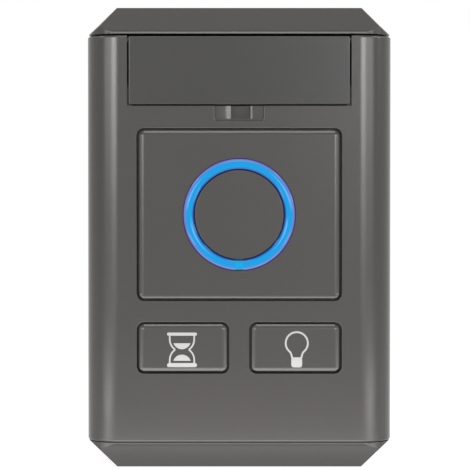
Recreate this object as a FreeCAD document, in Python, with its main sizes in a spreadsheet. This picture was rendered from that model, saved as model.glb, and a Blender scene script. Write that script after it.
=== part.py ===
"""Wireless wall console: a garage wall station with one large lit button, two small ones and a hinged flap.

The frame has X to the right, Z up and the wall plane at Y = 0. The front faces -Y, so every place in front of
the wall is written as a depth, the distance from the wall. The origin is the centre of the back face.
"""

import FreeCAD, Part
import os
import re
import Sketcher

# Driving dimensions in millimetres, one spreadsheet cell each.
SIZES = {
    # Outer form
    "cover_width": 90.0,
    "side_radius": 9.7,
    "cover_wall": 2.0,
    "cover_lift": 0.4,
    "cover_end_chamfer": 0.5,
    "seam_gap": 0.3,
    "cap_height": 8.0,
    "cap_inset": 0.3,
    "cap_setback": 0.4,
    "cap_slope_depth": 9.6,
    "cap_lip": 1.0,
    "cap_lip_chamfer": 0.5,
    "cap_corner_cut": 8.3,
    "cap_corner_lip": 0.3,
    "cap_wall": 2.0,
    # Bands of the front face, from its lower end to its upper one
    "lower_band": 20.4,
    "small_height": 15.15,
    "button_band": 6.25,
    "main_height": 50.7,
    "flap_band": 7.0,
    "flap_height": 20.0,
    "upper_band": 0.7,
    # Bands beside the buttons and the flap
    "side_band": 14.9,
    "flap_side_band": 12.5,
    "small_inner_x": 3.0,
    # Rear plate and the room in front of the board
    "plate_thickness": 2.2,
    "plate_clearance": 0.3,
    "front_room": 11.0,
    # Battery compartment and its door
    "cell_diameter": 10.5,
    "cell_length": 43.3,
    "cell_nub_diameter": 3.8,
    "cell_nub_length": 1.2,
    "cell_clearance": 0.4,
    "cell_cover_gap": 0.2,
    "contact_room": 3.4,
    "battery_centre_z": 15.5,
    "battery_wall": 1.5,
    "battery_front_wall": 1.3,
    "door_thickness": 1.2,
    "door_ledge": 1.6,
    "door_gap": 0.3,
    "door_tab_place": 14.0,
    "door_tab_width": 5.0,
    "door_tab_reach": 1.5,
    "door_tab_thickness": 0.8,
    "door_tab_gap": 0.2,
    "door_grip_half": 6.0,
    "door_grip_height": 3.0,
    # Contacts
    "contact_thickness": 0.4,
    "contact_root": 0.6,
    "contact_width": 8.0,
    "contact_tail_width": 2.0,
    # Keyholes in the rear plate
    "keyhole_spacing": 80.0,
    "keyhole_centre_z": -2.0,
    "keyhole_entry_diameter": 8.6,
    "keyhole_slot_width": 4.4,
    "keyhole_slot_length": 7.0,
    "keyhole_room": 3.8,
    "keyhole_room_margin": 0.5,
    "keyhole_hood_wall": 1.2,
    # Two screws hold the cover at its lower end
    "cover_screw_side": 8.0,
    "cover_screw_end": 8.1,
    "cover_boss_diameter": 6.0,
    "cover_boss_back": 5.0,
    "cover_pilot_diameter": 2.6,
    "cover_pilot_length": 10.0,
    "cover_screw_diameter": 2.5,
    "cover_screw_reach": 8.0,
    "cover_head_diameter": 5.2,
    "cover_head_height": 1.8,
    "cover_head_sink": 0.4,
    "pillar_side": 8.0,
    "screw_play": 0.3,
    # Two snap arms hold it at its upper end
    "snap_arm_thickness": 1.4,
    "snap_arm_width": 8.0,
    "snap_arm_end": 8.1,
    "snap_nose_reach": 1.6,
    "snap_nose_depth": 2.0,
    "snap_ledge_back": 4.0,
    "snap_ledge_thickness": 2.0,
    "snap_ledge_reach": 3.6,
    "snap_gap": 0.3,
    # Circuit board and its screws
    "board_clearance": 1.0,
    "board_thickness": 1.6,
    "board_side_gap": 3.5,
    "board_lower_margin": 15.1,
    "board_upper_margin": 3.1,
    "board_screw_side": 3.5,
    "board_screw_end": 4.5,
    "board_post_diameter": 5.0,
    "board_rest_half": 20.0,
    "board_rest_end": 3.0,
    "board_rest_wall": 2.0,
    "board_pilot_diameter": 1.7,
    "board_pilot_length": 8.0,
    "board_screw_diameter": 1.6,
    "board_screw_reach": 6.0,
    "board_head_diameter": 3.6,
    "board_head_height": 1.3,
    "board_hole_diameter": 2.2,
    # Flap and the service bay behind it
    "flap_thickness": 1.8,
    "flap_gap": 0.45,
    "flap_edge_radius": 0.3,
    "flap_rim_height": 1.0,
    "flap_rim_inset": 2.8,
    "flap_rim_wall": 1.0,
    "pin_diameter": 1.4,
    "pin_fit": 0.08,
    "pin_length": 1.1,
    "pin_end_gap": 0.15,
    "pin_back": 1.5,
    "pin_drop": 1.0,
    "knuckle_length": 2.4,
    "knuckle_half": 0.9,
    "swing_room": 3.8,
    "bay_wall": 1.5,
    "bay_floor": 1.5,
    "stop_width": 1.4,
    "stop_height": 6.0,
    "stop_gap": 0.1,
    # Finger recess under the flap
    "recess_width": 14.1,
    "recess_height": 4.8,
    "recess_depth": 0.7,
    "recess_radius": 0.8,
    "scoop_width": 8.7,
    "scoop_floor_width": 5.6,
    "scoop_height": 4.2,
    "scoop_under_flap": 1.2,
    "scoop_depth": 2.8,
    "scoop_backing": 1.6,
    # Buttons
    "opening_radius": 2.1,
    "well_wall": 1.2,
    "button_gap": 0.5,
    "button_travel": 0.5,
    "button_plate": 2.2,
    "button_edge_chamfer": 0.8,
    "button_wall": 1.2,
    "button_skirt": 6.2,
    "flange_reach": 1.5,
    "flange_thickness": 1.2,
    "flange_gap": 0.3,
    "post_width": 5.0,
    "post_rib": 1.4,
    # Lit ring and the disc inside it
    "ring_inner_radius": 13.2,
    "ring_width": 3.3,
    "ring_crown": 0.5,
    "ring_shoulder": 0.5,
    "ring_facet": 0.3,
    "ring_fit": 0.1,
    "ring_flange_reach": 1.3,
    "ring_flange_thickness": 1.1,
    "disc_flange_thickness": 1.1,
    "led_side": 2.8,
    "led_height": 1.2,
    # Switches on the board
    "switch_side": 6.0,
    "switch_height": 3.5,
    "switch_floor": 1.0,
    "plunger_side": 2.8,
    "plunger_fit": 0.1,
    "plunger_play": 0.1,
    "plunger_out": 1.5,
    # Service controls
    "learn_x": -18.0,
    "learn_cap_diameter": 5.4,
    "learn_cap_cover": 0.8,
    "learn_cap_rise": 1.6,
    "status_diameter": 3.0,
    "status_stem": 2.6,
    "status_tip_diameter": 1.6,
    "status_tip_height": 1.1,
    "lock_x": 17.0,
    "lock_length": 13.0,
    "lock_width": 4.6,
    "lock_height": 3.5,
    "lock_floor": 1.6,
    "lock_travel": 4.0,
    "lock_knob_length": 3.2,
    "lock_knob_width": 2.2,
    "lock_knob_gap": 0.4,
    "lock_knob_rise": 2.9,
    "lock_play": 0.15,
    "floor_play": 0.4,
    # Parts soldered to the board
    "controller_x": -17.0,
    "controller_side": 7.0,
    "controller_height": 1.0,
    "radio_x": 17.0,
    "radio_width": 12.0,
    "radio_length": 14.0,
    "radio_height": 2.2,
    "module_gap": 1.0,
    "antenna_side": 10.5,
    "antenna_end": 2.0,
    "antenna_height": 3.0,
    "antenna_strip": 0.9,
    "antenna_thickness": 0.5,
    "antenna_bend": 1.0,
}

# Places worked out from the sizes, each written once and kept as a property of one set.
PLACES = {
    "cover_half": "cover_width / 2",
    "cover_height": "lower_band + small_height + button_band + main_height + flap_band + flap_height + upper_band",
    "cover_end": "cover_height / 2",
    "cover_inner_half": "cover_half - cover_wall",
    "cap_seam": "cover_end + seam_gap",
    "top_end": "cap_seam + cap_height",
    "cap_half": "cover_half - cap_inset",
    "cap_flat_half": "cap_half - cap_corner_cut",
    "cap_front": "total_depth - cap_setback",
    "cap_rim_depth": "cap_front - cap_slope_depth",
    "plate_half": "cover_inner_half - plate_clearance",
    "small_low": "lower_band - cover_end",
    "small_high": "small_low + small_height",
    "main_low": "small_high + button_band",
    "main_high": "flap_low - flap_band",
    "flap_high": "cover_end - upper_band",
    "flap_low": "flap_high - flap_height",
    "opening_half": "cover_half - side_band",
    "flap_half": "cover_half - flap_side_band",
    "small_centre_x": "(small_inner_x + opening_half) / 2",
    "small_centre_z": "(small_low + small_high) / 2",
    "ring_centre_z": "(main_low + main_high) / 2",
    "service_z": "(flap_low + flap_high) / 2",
    "cell_depth": "door_thickness + cell_cover_gap + cell_diameter / 2",
    "battery_room_depth": "door_thickness + 2 * cell_cover_gap + cell_diameter",
    "battery_room_front": "battery_room_depth + battery_front_wall",
    "board_back": "battery_room_front + board_clearance",
    "board_front": "board_back + board_thickness",
    "total_depth": "board_front + front_room",
    "wall_inside": "total_depth - cover_wall",
    "battery_half_length": "(cell_length + cell_nub_length) / 2 + contact_room",
    "battery_half_height": "cell_diameter + 1.5 * cell_clearance",
    "cell_offset": "(cell_diameter + cell_clearance) / 2",
    "battery_floor": "battery_centre_z - battery_half_height",
    "battery_roof": "battery_centre_z + battery_half_height",
    "door_pocket_half": "battery_half_length + door_ledge",
    "door_pocket_low": "battery_floor - door_ledge",
    "door_pocket_high": "battery_roof + door_ledge",
    "door_low": "door_pocket_low + door_gap",
    "door_high": "door_pocket_high - door_gap",
    "tab_back": "door_thickness + door_tab_gap",
    "tab_front": "tab_back + door_tab_thickness",
    "tab_low": "door_low - door_tab_reach",
    "keyhole_room_front": "plate_thickness + keyhole_room",
    "keyhole_room_half": "keyhole_entry_diameter / 2 + keyhole_room_margin",
    "cover_screw_x": "cover_half - cover_screw_side",
    "cover_screw_z": "cover_screw_end - cover_end",
    "head_seat": "cover_head_height + cover_head_sink",
    "snap_low": "cover_end - snap_arm_end - snap_arm_width / 2",
    "snap_high": "cover_end - snap_arm_end + snap_arm_width / 2",
    "snap_ledge_inner": "cover_inner_half - snap_ledge_reach",
    "snap_ledge_front": "snap_ledge_back + snap_ledge_thickness",
    "snap_arm_outer": "snap_ledge_inner - snap_gap",
    "snap_nose_back": "snap_ledge_front + snap_gap",
    "snap_nose_front": "snap_nose_back + snap_nose_depth",
    "board_half_width": "cover_screw_x - cover_boss_diameter / 2 - board_side_gap",
    "board_low": "board_lower_margin - cover_end",
    "board_high": "cover_end - board_upper_margin",
    "board_screw_x": "board_half_width - board_screw_side",
    "board_screw_z": "board_low + board_screw_end",
    "board_rest_z": "board_high - board_rest_end",
    "flap_back": "total_depth - flap_thickness",
    "pin_depth": "total_depth - pin_back",
    "pin_z": "flap_high - pin_drop",
    "knuckle_depth": "pin_depth - knuckle_half",
    "swing_room_depth": "total_depth - swing_room",
    "bay_half": "flap_half + flap_gap",
    "bay_low": "flap_low - flap_gap",
    "bay_top": "cover_end - bay_wall",
    "bay_floor_depth": "board_front + bay_floor",
    "recess_low": "flap_low - recess_height",
    "scoop_low": "flap_low - scoop_height",
    "scoop_high": "flap_low + scoop_under_flap",
    "scoop_floor": "total_depth - scoop_depth",
    "button_back": "total_depth - button_skirt",
    "well_back": "button_back + flange_thickness + flange_gap",
    "button_inside": "total_depth - button_plate",
    "button_corner": "opening_radius - button_gap",
    "ring_outer_radius": "ring_inner_radius + ring_width",
    "ring_middle": "ring_inner_radius + ring_width / 2",
    "ring_flange_front": "button_inside - ring_fit",
    "ring_flange_back": "ring_flange_front - ring_flange_thickness",
    "crown_back": "total_depth - ring_shoulder",
    "crown_front": "total_depth + ring_crown",
    "crown_height": "ring_shoulder + ring_crown",
    "disc_radius": "ring_inner_radius - ring_fit",
    "disc_flange_front": "ring_flange_back - ring_fit",
    "disc_back": "disc_flange_front - disc_flange_thickness",
    "switch_front": "board_front + switch_height",
    "switch_bore_back": "board_front + switch_floor",
    "plunger_back": "switch_bore_back + button_travel + plunger_play",
    "plunger_top": "switch_front + plunger_out",
    "learn_cap_back": "plunger_top - learn_cap_cover",
    "learn_cap_front": "plunger_top + learn_cap_rise",
    "status_tip_back": "board_front + status_stem",
    "lock_front": "board_front + lock_height",
    "lock_slot_back": "board_front + lock_floor",
    "lock_knob_back": "lock_slot_back + lock_knob_gap",
    "lock_knob_front": "lock_front + lock_knob_rise",
    "module_top": "ring_centre_z - ring_middle / 2 - led_side / 2 - module_gap",
    "antenna_half": "board_half_width - antenna_side",
    "antenna_z": "board_low + antenna_end",
    "antenna_front": "board_front + antenna_height",
}

doc = FreeCAD.newDocument("wall_console")
sheet = doc.addObject("Spreadsheet::Sheet", "Sizes")
for row, (alias, number) in enumerate(SIZES.items(), start=1):
    sheet.set("A%d" % row, alias)
    sheet.set("B%d" % row, str(number))
    sheet.setAlias("B%d" % row, alias)
doc.recompute()


def expand(text):
    """Turns the words of a size rule into references to the spreadsheet's cells and the set of places."""

    def word(match):
        name = match.group(0)
        if name in SIZES:
            return "Sizes." + name
        if name in PLACES:
            return "Places." + name
        return name

    return re.sub(r"[a-z][a-z_]+", word, str(text))


places = doc.addObject("App::VarSet", "Places")
for name, rule in PLACES.items():
    places.addProperty("App::PropertyFloat", name)
for name, rule in PLACES.items():
    places.setExpression(name, expand(rule))
doc.recompute()


def value(text):
    """The number that a size rule comes to."""
    return float(sheet.evalExpression(expand(text)))


def bind(item, name, text):
    """Ties one property to the spreadsheet."""
    item.setExpression(name, expand(text))


def new_body(label):
    """Starts a sub-part that is built from sketches."""
    return doc.addObject("PartDesign::Body", label)


def new_sketch(body, name, role, offset="0", rise="0"):
    """Starts a sketch on one of the body's own planes, offset along its normal and raised in its plane."""
    plane = [f for f in body.Origin.OriginFeatures if f.Role == role][0]
    made = body.newObject("Sketcher::SketchObject", name)
    made.AttachmentSupport = [(plane, "")]
    made.MapMode = "FlatFace"
    bind(made, "AttachmentOffset.Base.z", offset)
    bind(made, "AttachmentOffset.Base.y", rise)
    return made


def fix_point(sketch, index, end, x, y):
    """Holds one end of a curve at a place given by two size rules."""
    for kind, text in (("DistanceX", x), ("DistanceY", y)):
        made = sketch.addConstraint(Sketcher.Constraint(kind, -1, 1, index, end, value(text)))
        bind(sketch, "Constraints[%d]" % made, text)


def draw_polygon(sketch, points):
    """Draws a closed outline through points that are pairs of size rules."""
    places = [FreeCAD.Vector(value(x), value(y), 0) for x, y in points]
    first = sketch.GeometryCount
    count = len(points)
    for i in range(count):
        sketch.addGeometry(Part.LineSegment(places[i], places[(i + 1) % count]), False)
    for i in range(count):
        following = first + (i + 1) % count
        sketch.addConstraint(Sketcher.Constraint("Coincident", first + i, 2, following, 1))
        fix_point(sketch, first + i, 1, *points[i])


def draw_rectangle(sketch, left, right, low, high):
    """Draws a sharp rectangle."""
    draw_polygon(sketch, [(left, low), (right, low), (right, high), (left, high)])


def draw_rounded(sketch, left, right, low, high, radius):
    """Draws a rectangle with round corners."""
    x0, x1, y0, y1, r = value(left), value(right), value(low), value(high), value(radius)
    corners = [(x1 - r, y0 + r, 270), (x1 - r, y1 - r, 0), (x0 + r, y1 - r, 90), (x0 + r, y0 + r, 180)]
    straights = [((x0 + r, y0), (x1 - r, y0)), ((x1, y0 + r), (x1, y1 - r)),
                 ((x1 - r, y1), (x0 + r, y1)), ((x0, y1 - r), (x0, y0 + r))]
    first = sketch.GeometryCount
    for (cx, cy, start), (a, b) in zip(corners, straights):
        sketch.addGeometry(Part.LineSegment(FreeCAD.Vector(*a, 0), FreeCAD.Vector(*b, 0)), False)
        circle = Part.Circle(FreeCAD.Vector(cx, cy, 0), FreeCAD.Vector(0, 0, 1), r)
        turn = [FreeCAD.Units.Quantity(angle, FreeCAD.Units.Angle).getValueAs("rad").Value
                for angle in (start, start + 90)]
        sketch.addGeometry(Part.ArcOfCircle(circle, *turn), False)
    for i in range(4):
        line, arc, following = first + 2 * i, first + 2 * i + 1, first + (2 * i + 2) % 8
        sketch.addConstraint(Sketcher.Constraint("Tangent", line, 2, arc, 1))
        sketch.addConstraint(Sketcher.Constraint("Tangent", arc, 2, following, 1))
        sketch.addConstraint(Sketcher.Constraint("Vertical" if i % 2 else "Horizontal", line))
        made = sketch.addConstraint(Sketcher.Constraint("Radius", arc, r))
        bind(sketch, "Constraints[%d]" % made, radius)
    for i, (kind, text) in enumerate((("DistanceY", low), ("DistanceX", right),
                                      ("DistanceY", high), ("DistanceX", left))):
        made = sketch.addConstraint(Sketcher.Constraint(kind, -1, 1, first + 2 * i, 1, value(text)))
        bind(sketch, "Constraints[%d]" % made, text)


def draw_circle(sketch, x, y, diameter):
    """Draws a circle."""
    centre = FreeCAD.Vector(value(x), value(y), 0)
    index = sketch.addGeometry(Part.Circle(centre, FreeCAD.Vector(0, 0, 1), value(diameter) / 2), False)
    fix_point(sketch, index, 3, x, y)
    made = sketch.addConstraint(Sketcher.Constraint("Diameter", index, value(diameter)))
    bind(sketch, "Constraints[%d]" % made, diameter)


def extrude(body, kind, name, sketch, length, middle=False):
    """Makes a Pad or a Pocket of a sketch, to one side or to both."""
    made = body.newObject("PartDesign::" + kind, name)
    made.Profile = sketch
    made.Midplane = middle
    bind(made, "Length", length)
    return made


def add_block(body, name, left, right, low, high, back, front, radius=None):
    """Adds a block that is drawn as seen from the front, between two depths."""
    drawn = new_sketch(body, name + "_outline", "XZ_Plane", back)
    if radius is None:
        draw_rectangle(drawn, left, right, low, high)
    else:
        draw_rounded(drawn, left, right, low, high, radius)
    return extrude(body, "Pad", name, drawn, "(%s) - (%s)" % (front, back))


def cut_block(body, name, left, right, low, high, back, front, radius=None):
    """Cuts a block that is drawn as seen from the front, between two depths."""
    drawn = new_sketch(body, name + "_outline", "XZ_Plane", front)
    if radius is None:
        draw_rectangle(drawn, left, right, low, high)
    else:
        draw_rounded(drawn, left, right, low, high, radius)
    return extrude(body, "Pocket", name, drawn, "(%s) - (%s)" % (front, back))


def add_posts(body, name, centres, diameter, back, front):
    """Adds round posts that stand towards the front."""
    drawn = new_sketch(body, name + "_outline", "XZ_Plane", back)
    for x, z in centres:
        draw_circle(drawn, x, z, diameter)
    return extrude(body, "Pad", name, drawn, "(%s) - (%s)" % (front, back))


def cut_bores(body, name, centres, diameter, back, front):
    """Cuts round bores that run towards the wall."""
    drawn = new_sketch(body, name + "_outline", "XZ_Plane", front)
    for x, z in centres:
        draw_circle(drawn, x, z, diameter)
    return extrude(body, "Pocket", name, drawn, "(%s) - (%s)" % (front, back))


def across(body, kind, name, outlines, length):
    """Pads or pockets outlines of (depth, z) points across the width, equally to both sides."""
    drawn = new_sketch(body, name + "_outline", "YZ_Plane")
    for points in outlines:
        draw_polygon(drawn, [("-(%s)" % depth, z) for depth, z in points])
    return extrude(body, kind, name, drawn, length, middle=True)


def finish_edges(body, kind, name, base, test, size):
    """Rounds or bevels the edges of a feature whose middle passes a test of x, depth and z."""
    doc.recompute([base])
    picked = []
    for number, edge in enumerate(base.Shape.Edges, start=1):
        point = edge.valueAt((edge.FirstParameter + edge.LastParameter) / 2)
        if test(edge, point.x, -point.y, point.z):
            picked.append("Edge%d" % number)
    made = body.newObject("PartDesign::" + kind, name)
    made.Base = (base, picked)
    bind(made, "Radius" if kind == "Fillet" else "Size", size)
    return made


def along_z(edge):
    """True for a straight edge that stands upright."""
    box = edge.BoundBox
    return box.XLength < 1e-3 and box.YLength < 1e-3


def near(a, b):
    """True for two places that are the same."""
    return abs(a - b) < 1e-3


def make_box(label, left, right, low, high, back, front):
    """Makes a plain box as a primitive, from the same six places as a block."""
    box = doc.addObject("Part::Box", label)
    bind(box, "Length", "(%s) - (%s)" % (right, left))
    bind(box, "Width", "(%s) - (%s)" % (front, back))
    bind(box, "Height", "(%s) - (%s)" % (high, low))
    bind(box, "Placement.Base.x", left)
    bind(box, "Placement.Base.y", "-(%s)" % front)
    bind(box, "Placement.Base.z", low)
    return box


def make_rod(label, x, z, diameter, back, front):
    """Makes a cylinder that points to the front."""
    rod = doc.addObject("Part::Cylinder", label)
    rod.Placement.Rotation = FreeCAD.Rotation(FreeCAD.Vector(1, 0, 0), 90)
    bind(rod, "Radius", "(%s) / 2" % diameter)
    bind(rod, "Height", "(%s) - (%s)" % (front, back))
    bind(rod, "Placement.Base.x", x)
    bind(rod, "Placement.Base.y", "-(%s)" % back)
    bind(rod, "Placement.Base.z", z)
    return rod


def join(label, pieces):
    """Fuses primitives into one solid."""
    made = doc.addObject("Part::MultiFuse", label)
    made.Shapes = pieces
    return made


def subtract(label, base, tool):
    """Cuts one primitive from another."""
    made = doc.addObject("Part::Cut", label)
    made.Base = base
    made.Tool = tool
    return made


def group(label, pieces):
    """Holds separate solids together in one node."""
    made = doc.addObject("Part::Compound", label)
    made.Links = pieces
    return made


def side_span(sign, inner, outer):
    """The lower and higher X of something that lies between two distances from the middle, on one side."""
    return ("-(%s)" % outer, "-(%s)" % inner) if sign else (inner, outer)


SIDES = {"left": "-", "right": ""}
ENDS = {"lower": "-", "upper": ""}
COVER_SCREWS = [(sign + "cover_screw_x", "cover_screw_z") for sign in SIDES.values()]
BOARD_SCREWS = [(sign + "board_screw_x", "board_screw_z") for sign in SIDES.values()]
KEYHOLES = {"lower": "keyhole_centre_z - keyhole_spacing / 2", "upper": "keyhole_centre_z + keyhole_spacing / 2"}


def make_rear_housing():
    """The rear housing: the wall plate with a bevelled cap moulded on at each end."""
    body = new_body("rear_housing")
    drawn = new_sketch(body, "blank_outline", "XY_Plane")
    draw_rectangle(drawn, "-cap_half", "cap_half", "-cap_front", "0")
    blank = extrude(body, "Pad", "blank", drawn, "2 * top_end", middle=True)
    front = value("cap_front")
    finish_edges(body, "Fillet", "long_edges", blank, lambda e, x, d, z: along_z(e) and near(d, front),
                 "side_radius - cap_inset")

    across(body, "Pocket", "cover_room",
           [[("plate_thickness", "-cap_seam"), ("total_depth", "-cap_seam"),
             ("total_depth", "cap_seam"), ("plate_thickness", "cap_seam")]], "cover_width")
    slopes = across(body, "Pocket", "cap_slopes",
                    [[("cap_front", s + "(cap_seam + cap_lip)"), ("cap_rim_depth", s + "top_end"),
                      ("cap_rim_depth", s + "(top_end + cap_lip)"), ("total_depth", s + "(top_end + cap_lip)"),
                      ("total_depth", s + "(cap_seam + cap_lip)")] for s in ENDS.values()], "cover_width")
    seam, plate = value("cap_seam"), value("plate_thickness")
    finish_edges(body, "Chamfer", "lip_bevel", slopes,
                 lambda e, x, d, z: near(abs(z), seam) and d > plate + 1 and near(e.BoundBox.ZLength, 0),
                 "cap_lip_chamfer")
    drawn = new_sketch(body, "corner_cuts_outline", "XZ_Plane", "cap_front")
    for s in ENDS.values():
        for side in SIDES.values():
            draw_polygon(drawn, [(side + "cap_flat_half", s + "top_end"),
                                 (side + "cap_half", s + "(cap_seam + cap_corner_lip)"),
                                 (side + "(cap_half + cap_lip)", s + "(top_end + cap_lip)")])
    extrude(body, "Pocket", "corner_cuts", drawn, "cap_front")

    across(body, "Pocket", "cap_hollows",
           [[("plate_thickness", s + "(cap_seam - cap_lip)"), ("cap_front - cap_wall", s + "(cap_seam - cap_lip)"),
             ("cap_front - cap_wall", s + "cap_seam"), ("cap_rim_depth - cap_wall", s + "(top_end - cap_wall)"),
             ("plate_thickness", s + "(top_end - cap_wall)")] for s in ENDS.values()],
           "2 * (cap_flat_half - cap_wall)")
    drawn = new_sketch(body, "plate_sides_outline", "XZ_Plane", "plate_thickness")
    for sign in SIDES.values():
        draw_rectangle(drawn, *side_span(sign, "plate_half", "cover_half"), "-cap_seam", "cap_seam")
    extrude(body, "Pocket", "plate_sides", drawn, "plate_thickness")
    add_battery_box(body)
    add_keyholes(body)
    add_fixings(body)
    return body


def add_battery_box(body):
    """The battery compartment in the wall plate, with the slots for the door's hooks and the contacts' tails."""
    add_block(body, "battery_box", "-(battery_half_length + battery_wall)", "battery_half_length + battery_wall",
              "battery_floor - battery_wall", "battery_roof + battery_wall", "0", "battery_room_front")
    cut_block(body, "battery_room", "-battery_half_length", "battery_half_length",
              "battery_floor", "battery_roof", "0", "battery_room_depth")
    cut_block(body, "door_pocket", "-door_pocket_half", "door_pocket_half",
              "door_pocket_low", "door_pocket_high", "0", "door_thickness")
    cut_block(body, "door_grip", "-door_grip_half", "door_grip_half",
              "door_pocket_high - door_gap", "door_pocket_high + door_grip_height", "0", "door_thickness")
    drawn = new_sketch(body, "tab_slots_outline", "XZ_Plane", "tab_front + door_thickness")
    for sign in SIDES.values():
        span = side_span(sign, "door_tab_place - door_tab_width / 2 - door_gap",
                         "door_tab_place + door_tab_width / 2 + door_gap")
        draw_rectangle(drawn, *span, "tab_low - door_gap", "battery_floor + door_gap")
    extrude(body, "Pocket", "tab_slots", drawn, "tab_front")
    drawn = new_sketch(body, "contact_slots_outline", "XZ_Plane", "battery_room_front")
    for z in ("battery_centre_z - cell_offset", "battery_centre_z + cell_offset"):
        span = side_span("-", "battery_half_length - contact_thickness - door_tab_gap",
                         "battery_half_length + door_tab_gap")
        draw_rectangle(drawn, *span, "%s - contact_tail_width / 2 - door_tab_gap" % z,
                       "%s + contact_tail_width / 2 + door_tab_gap" % z)
    extrude(body, "Pocket", "contact_slots", drawn, "battery_front_wall")


def add_keyholes(body):
    """The two keyholes for wall screws, each with a hood over the screw's head."""
    for place, z in KEYHOLES.items():
        margin = "keyhole_room_half + keyhole_hood_wall"
        add_block(body, place + "_hood", "-(%s)" % margin, margin, "%s - (%s)" % (z, margin),
                  "%s + keyhole_slot_length + %s" % (z, margin), "0", "keyhole_room_front + keyhole_hood_wall")
        cut_block(body, place + "_head_room", "-keyhole_room_half", "keyhole_room_half",
                  "%s - keyhole_room_half" % z, "%s + keyhole_slot_length + keyhole_room_half" % z,
                  "plate_thickness", "keyhole_room_front")
        cut_bores(body, place + "_entry", [("0", z)], "keyhole_entry_diameter", "0", "plate_thickness")
        cut_block(body, place + "_slot", "-keyhole_slot_width / 2", "keyhole_slot_width / 2", z,
                  "%s + keyhole_slot_length" % z, "0", "plate_thickness")
        cut_bores(body, place + "_slot_end", [("0", "%s + keyhole_slot_length" % z)], "keyhole_slot_width",
                  "0", "plate_thickness")


def add_fixings(body):
    """What the plate holds the cover and the board with: screw pillars, snap arms, board posts and a board rest."""
    drawn = new_sketch(body, "cover_pillars_outline", "XZ_Plane", "0")
    for sign in SIDES.values():
        span = side_span(sign, "cover_screw_x - pillar_side / 2", "cover_screw_x + pillar_side / 2")
        draw_rectangle(drawn, *span, "cover_screw_z - pillar_side / 2", "cover_screw_z + pillar_side / 2")
    extrude(body, "Pad", "cover_pillars", drawn, "cover_boss_back")
    cut_bores(body, "cover_screw_holes", COVER_SCREWS, "cover_screw_diameter + 2 * screw_play", "0",
              "cover_boss_back")
    cut_bores(body, "cover_head_seats", COVER_SCREWS, "cover_head_diameter + 2 * screw_play", "0", "head_seat")
    for side, sign in SIDES.items():
        add_block(body, side + "_snap_arm", *side_span(sign, "snap_arm_outer - snap_arm_thickness", "snap_arm_outer"),
                  "snap_low", "snap_high", "plate_thickness", "snap_nose_front")
        add_block(body, side + "_snap_nose", *side_span(sign, "snap_arm_outer", "snap_arm_outer + snap_nose_reach"),
                  "snap_low", "snap_high", "snap_nose_back", "snap_nose_front")
    add_posts(body, "board_posts", BOARD_SCREWS, "board_post_diameter", "plate_thickness", "board_back")
    add_block(body, "board_rest", "-board_rest_half", "board_rest_half", "board_rest_z - board_rest_wall / 2",
              "board_rest_z + board_rest_wall / 2", "plate_thickness", "board_back")
    cut_bores(body, "board_pilots", BOARD_SCREWS, "board_pilot_diameter", "board_back - board_pilot_length",
              "board_back")


def make_front_cover():
    """The front cover: a rounded sleeve between the caps, with the service bay and the button wells inside."""
    body = new_body("front_cover")
    drawn = new_sketch(body, "blank_outline", "XY_Plane")
    draw_rectangle(drawn, "-cover_half", "cover_half", "-total_depth", "-cover_lift")
    blank = extrude(body, "Pad", "blank", drawn, "cover_height", middle=True)
    front, end, back = value("total_depth"), value("cover_end"), value("cover_lift")
    rounded = finish_edges(body, "Fillet", "long_edges", blank,
                           lambda e, x, d, z: along_z(e) and near(d, front), "side_radius")
    finish_edges(body, "Chamfer", "end_edges", rounded,
                 lambda e, x, d, z: near(abs(z), end) and near(e.BoundBox.ZLength, 0) and not near(d, back),
                 "cover_end_chamfer")
    drawn = new_sketch(body, "inside_outline", "XY_Plane")
    draw_rounded(drawn, "-cover_inner_half", "cover_inner_half", "-wall_inside", "side_radius",
                 "side_radius - cover_wall")
    extrude(body, "Pocket", "inside", drawn, "cover_height", middle=True)
    add_wells(body)
    add_bay(body)
    for side, sign in SIDES.items():
        add_block(body, side + "_snap_ledge", *side_span(sign, "snap_ledge_inner", "cover_inner_half"),
                  "snap_low", "snap_high", "snap_ledge_back", "snap_ledge_front")
    cut_bores(body, "cover_pilots", COVER_SCREWS, "cover_pilot_diameter", "cover_boss_back",
              "cover_boss_back + cover_pilot_length")
    return body


def add_wells(body):
    """The walls that stand behind the front face, and the openings that they guide the buttons in."""
    add_block(body, "bay_box", "-(bay_half + bay_wall)", "bay_half + bay_wall", "bay_low - bay_wall",
              "cover_end - cover_end_chamfer", "board_front", "wall_inside")
    add_block(body, "main_well", "-(opening_half + well_wall)", "opening_half + well_wall",
              "main_low - well_wall", "main_high + well_wall", "well_back", "wall_inside")
    for side, sign in SIDES.items():
        add_block(body, side + "_well", *side_span(sign, "small_inner_x - well_wall", "opening_half + well_wall"),
                  "small_low - well_wall", "small_high + well_wall", "well_back", "wall_inside")
    add_block(body, "scoop_backing_pad", "-(scoop_width / 2 + scoop_backing)", "scoop_width / 2 + scoop_backing",
              "main_high + well_wall", "bay_low", "scoop_floor - scoop_backing", "wall_inside")
    add_posts(body, "cover_bosses", COVER_SCREWS, "cover_boss_diameter", "cover_boss_back", "wall_inside")
    cut_block(body, "main_opening", "-opening_half", "opening_half", "main_low", "main_high",
              "well_back", "total_depth", "opening_radius")
    for side, sign in SIDES.items():
        cut_block(body, side + "_opening", *side_span(sign, "small_inner_x", "opening_half"),
                  "small_low", "small_high", "well_back", "total_depth", "opening_radius")


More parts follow.
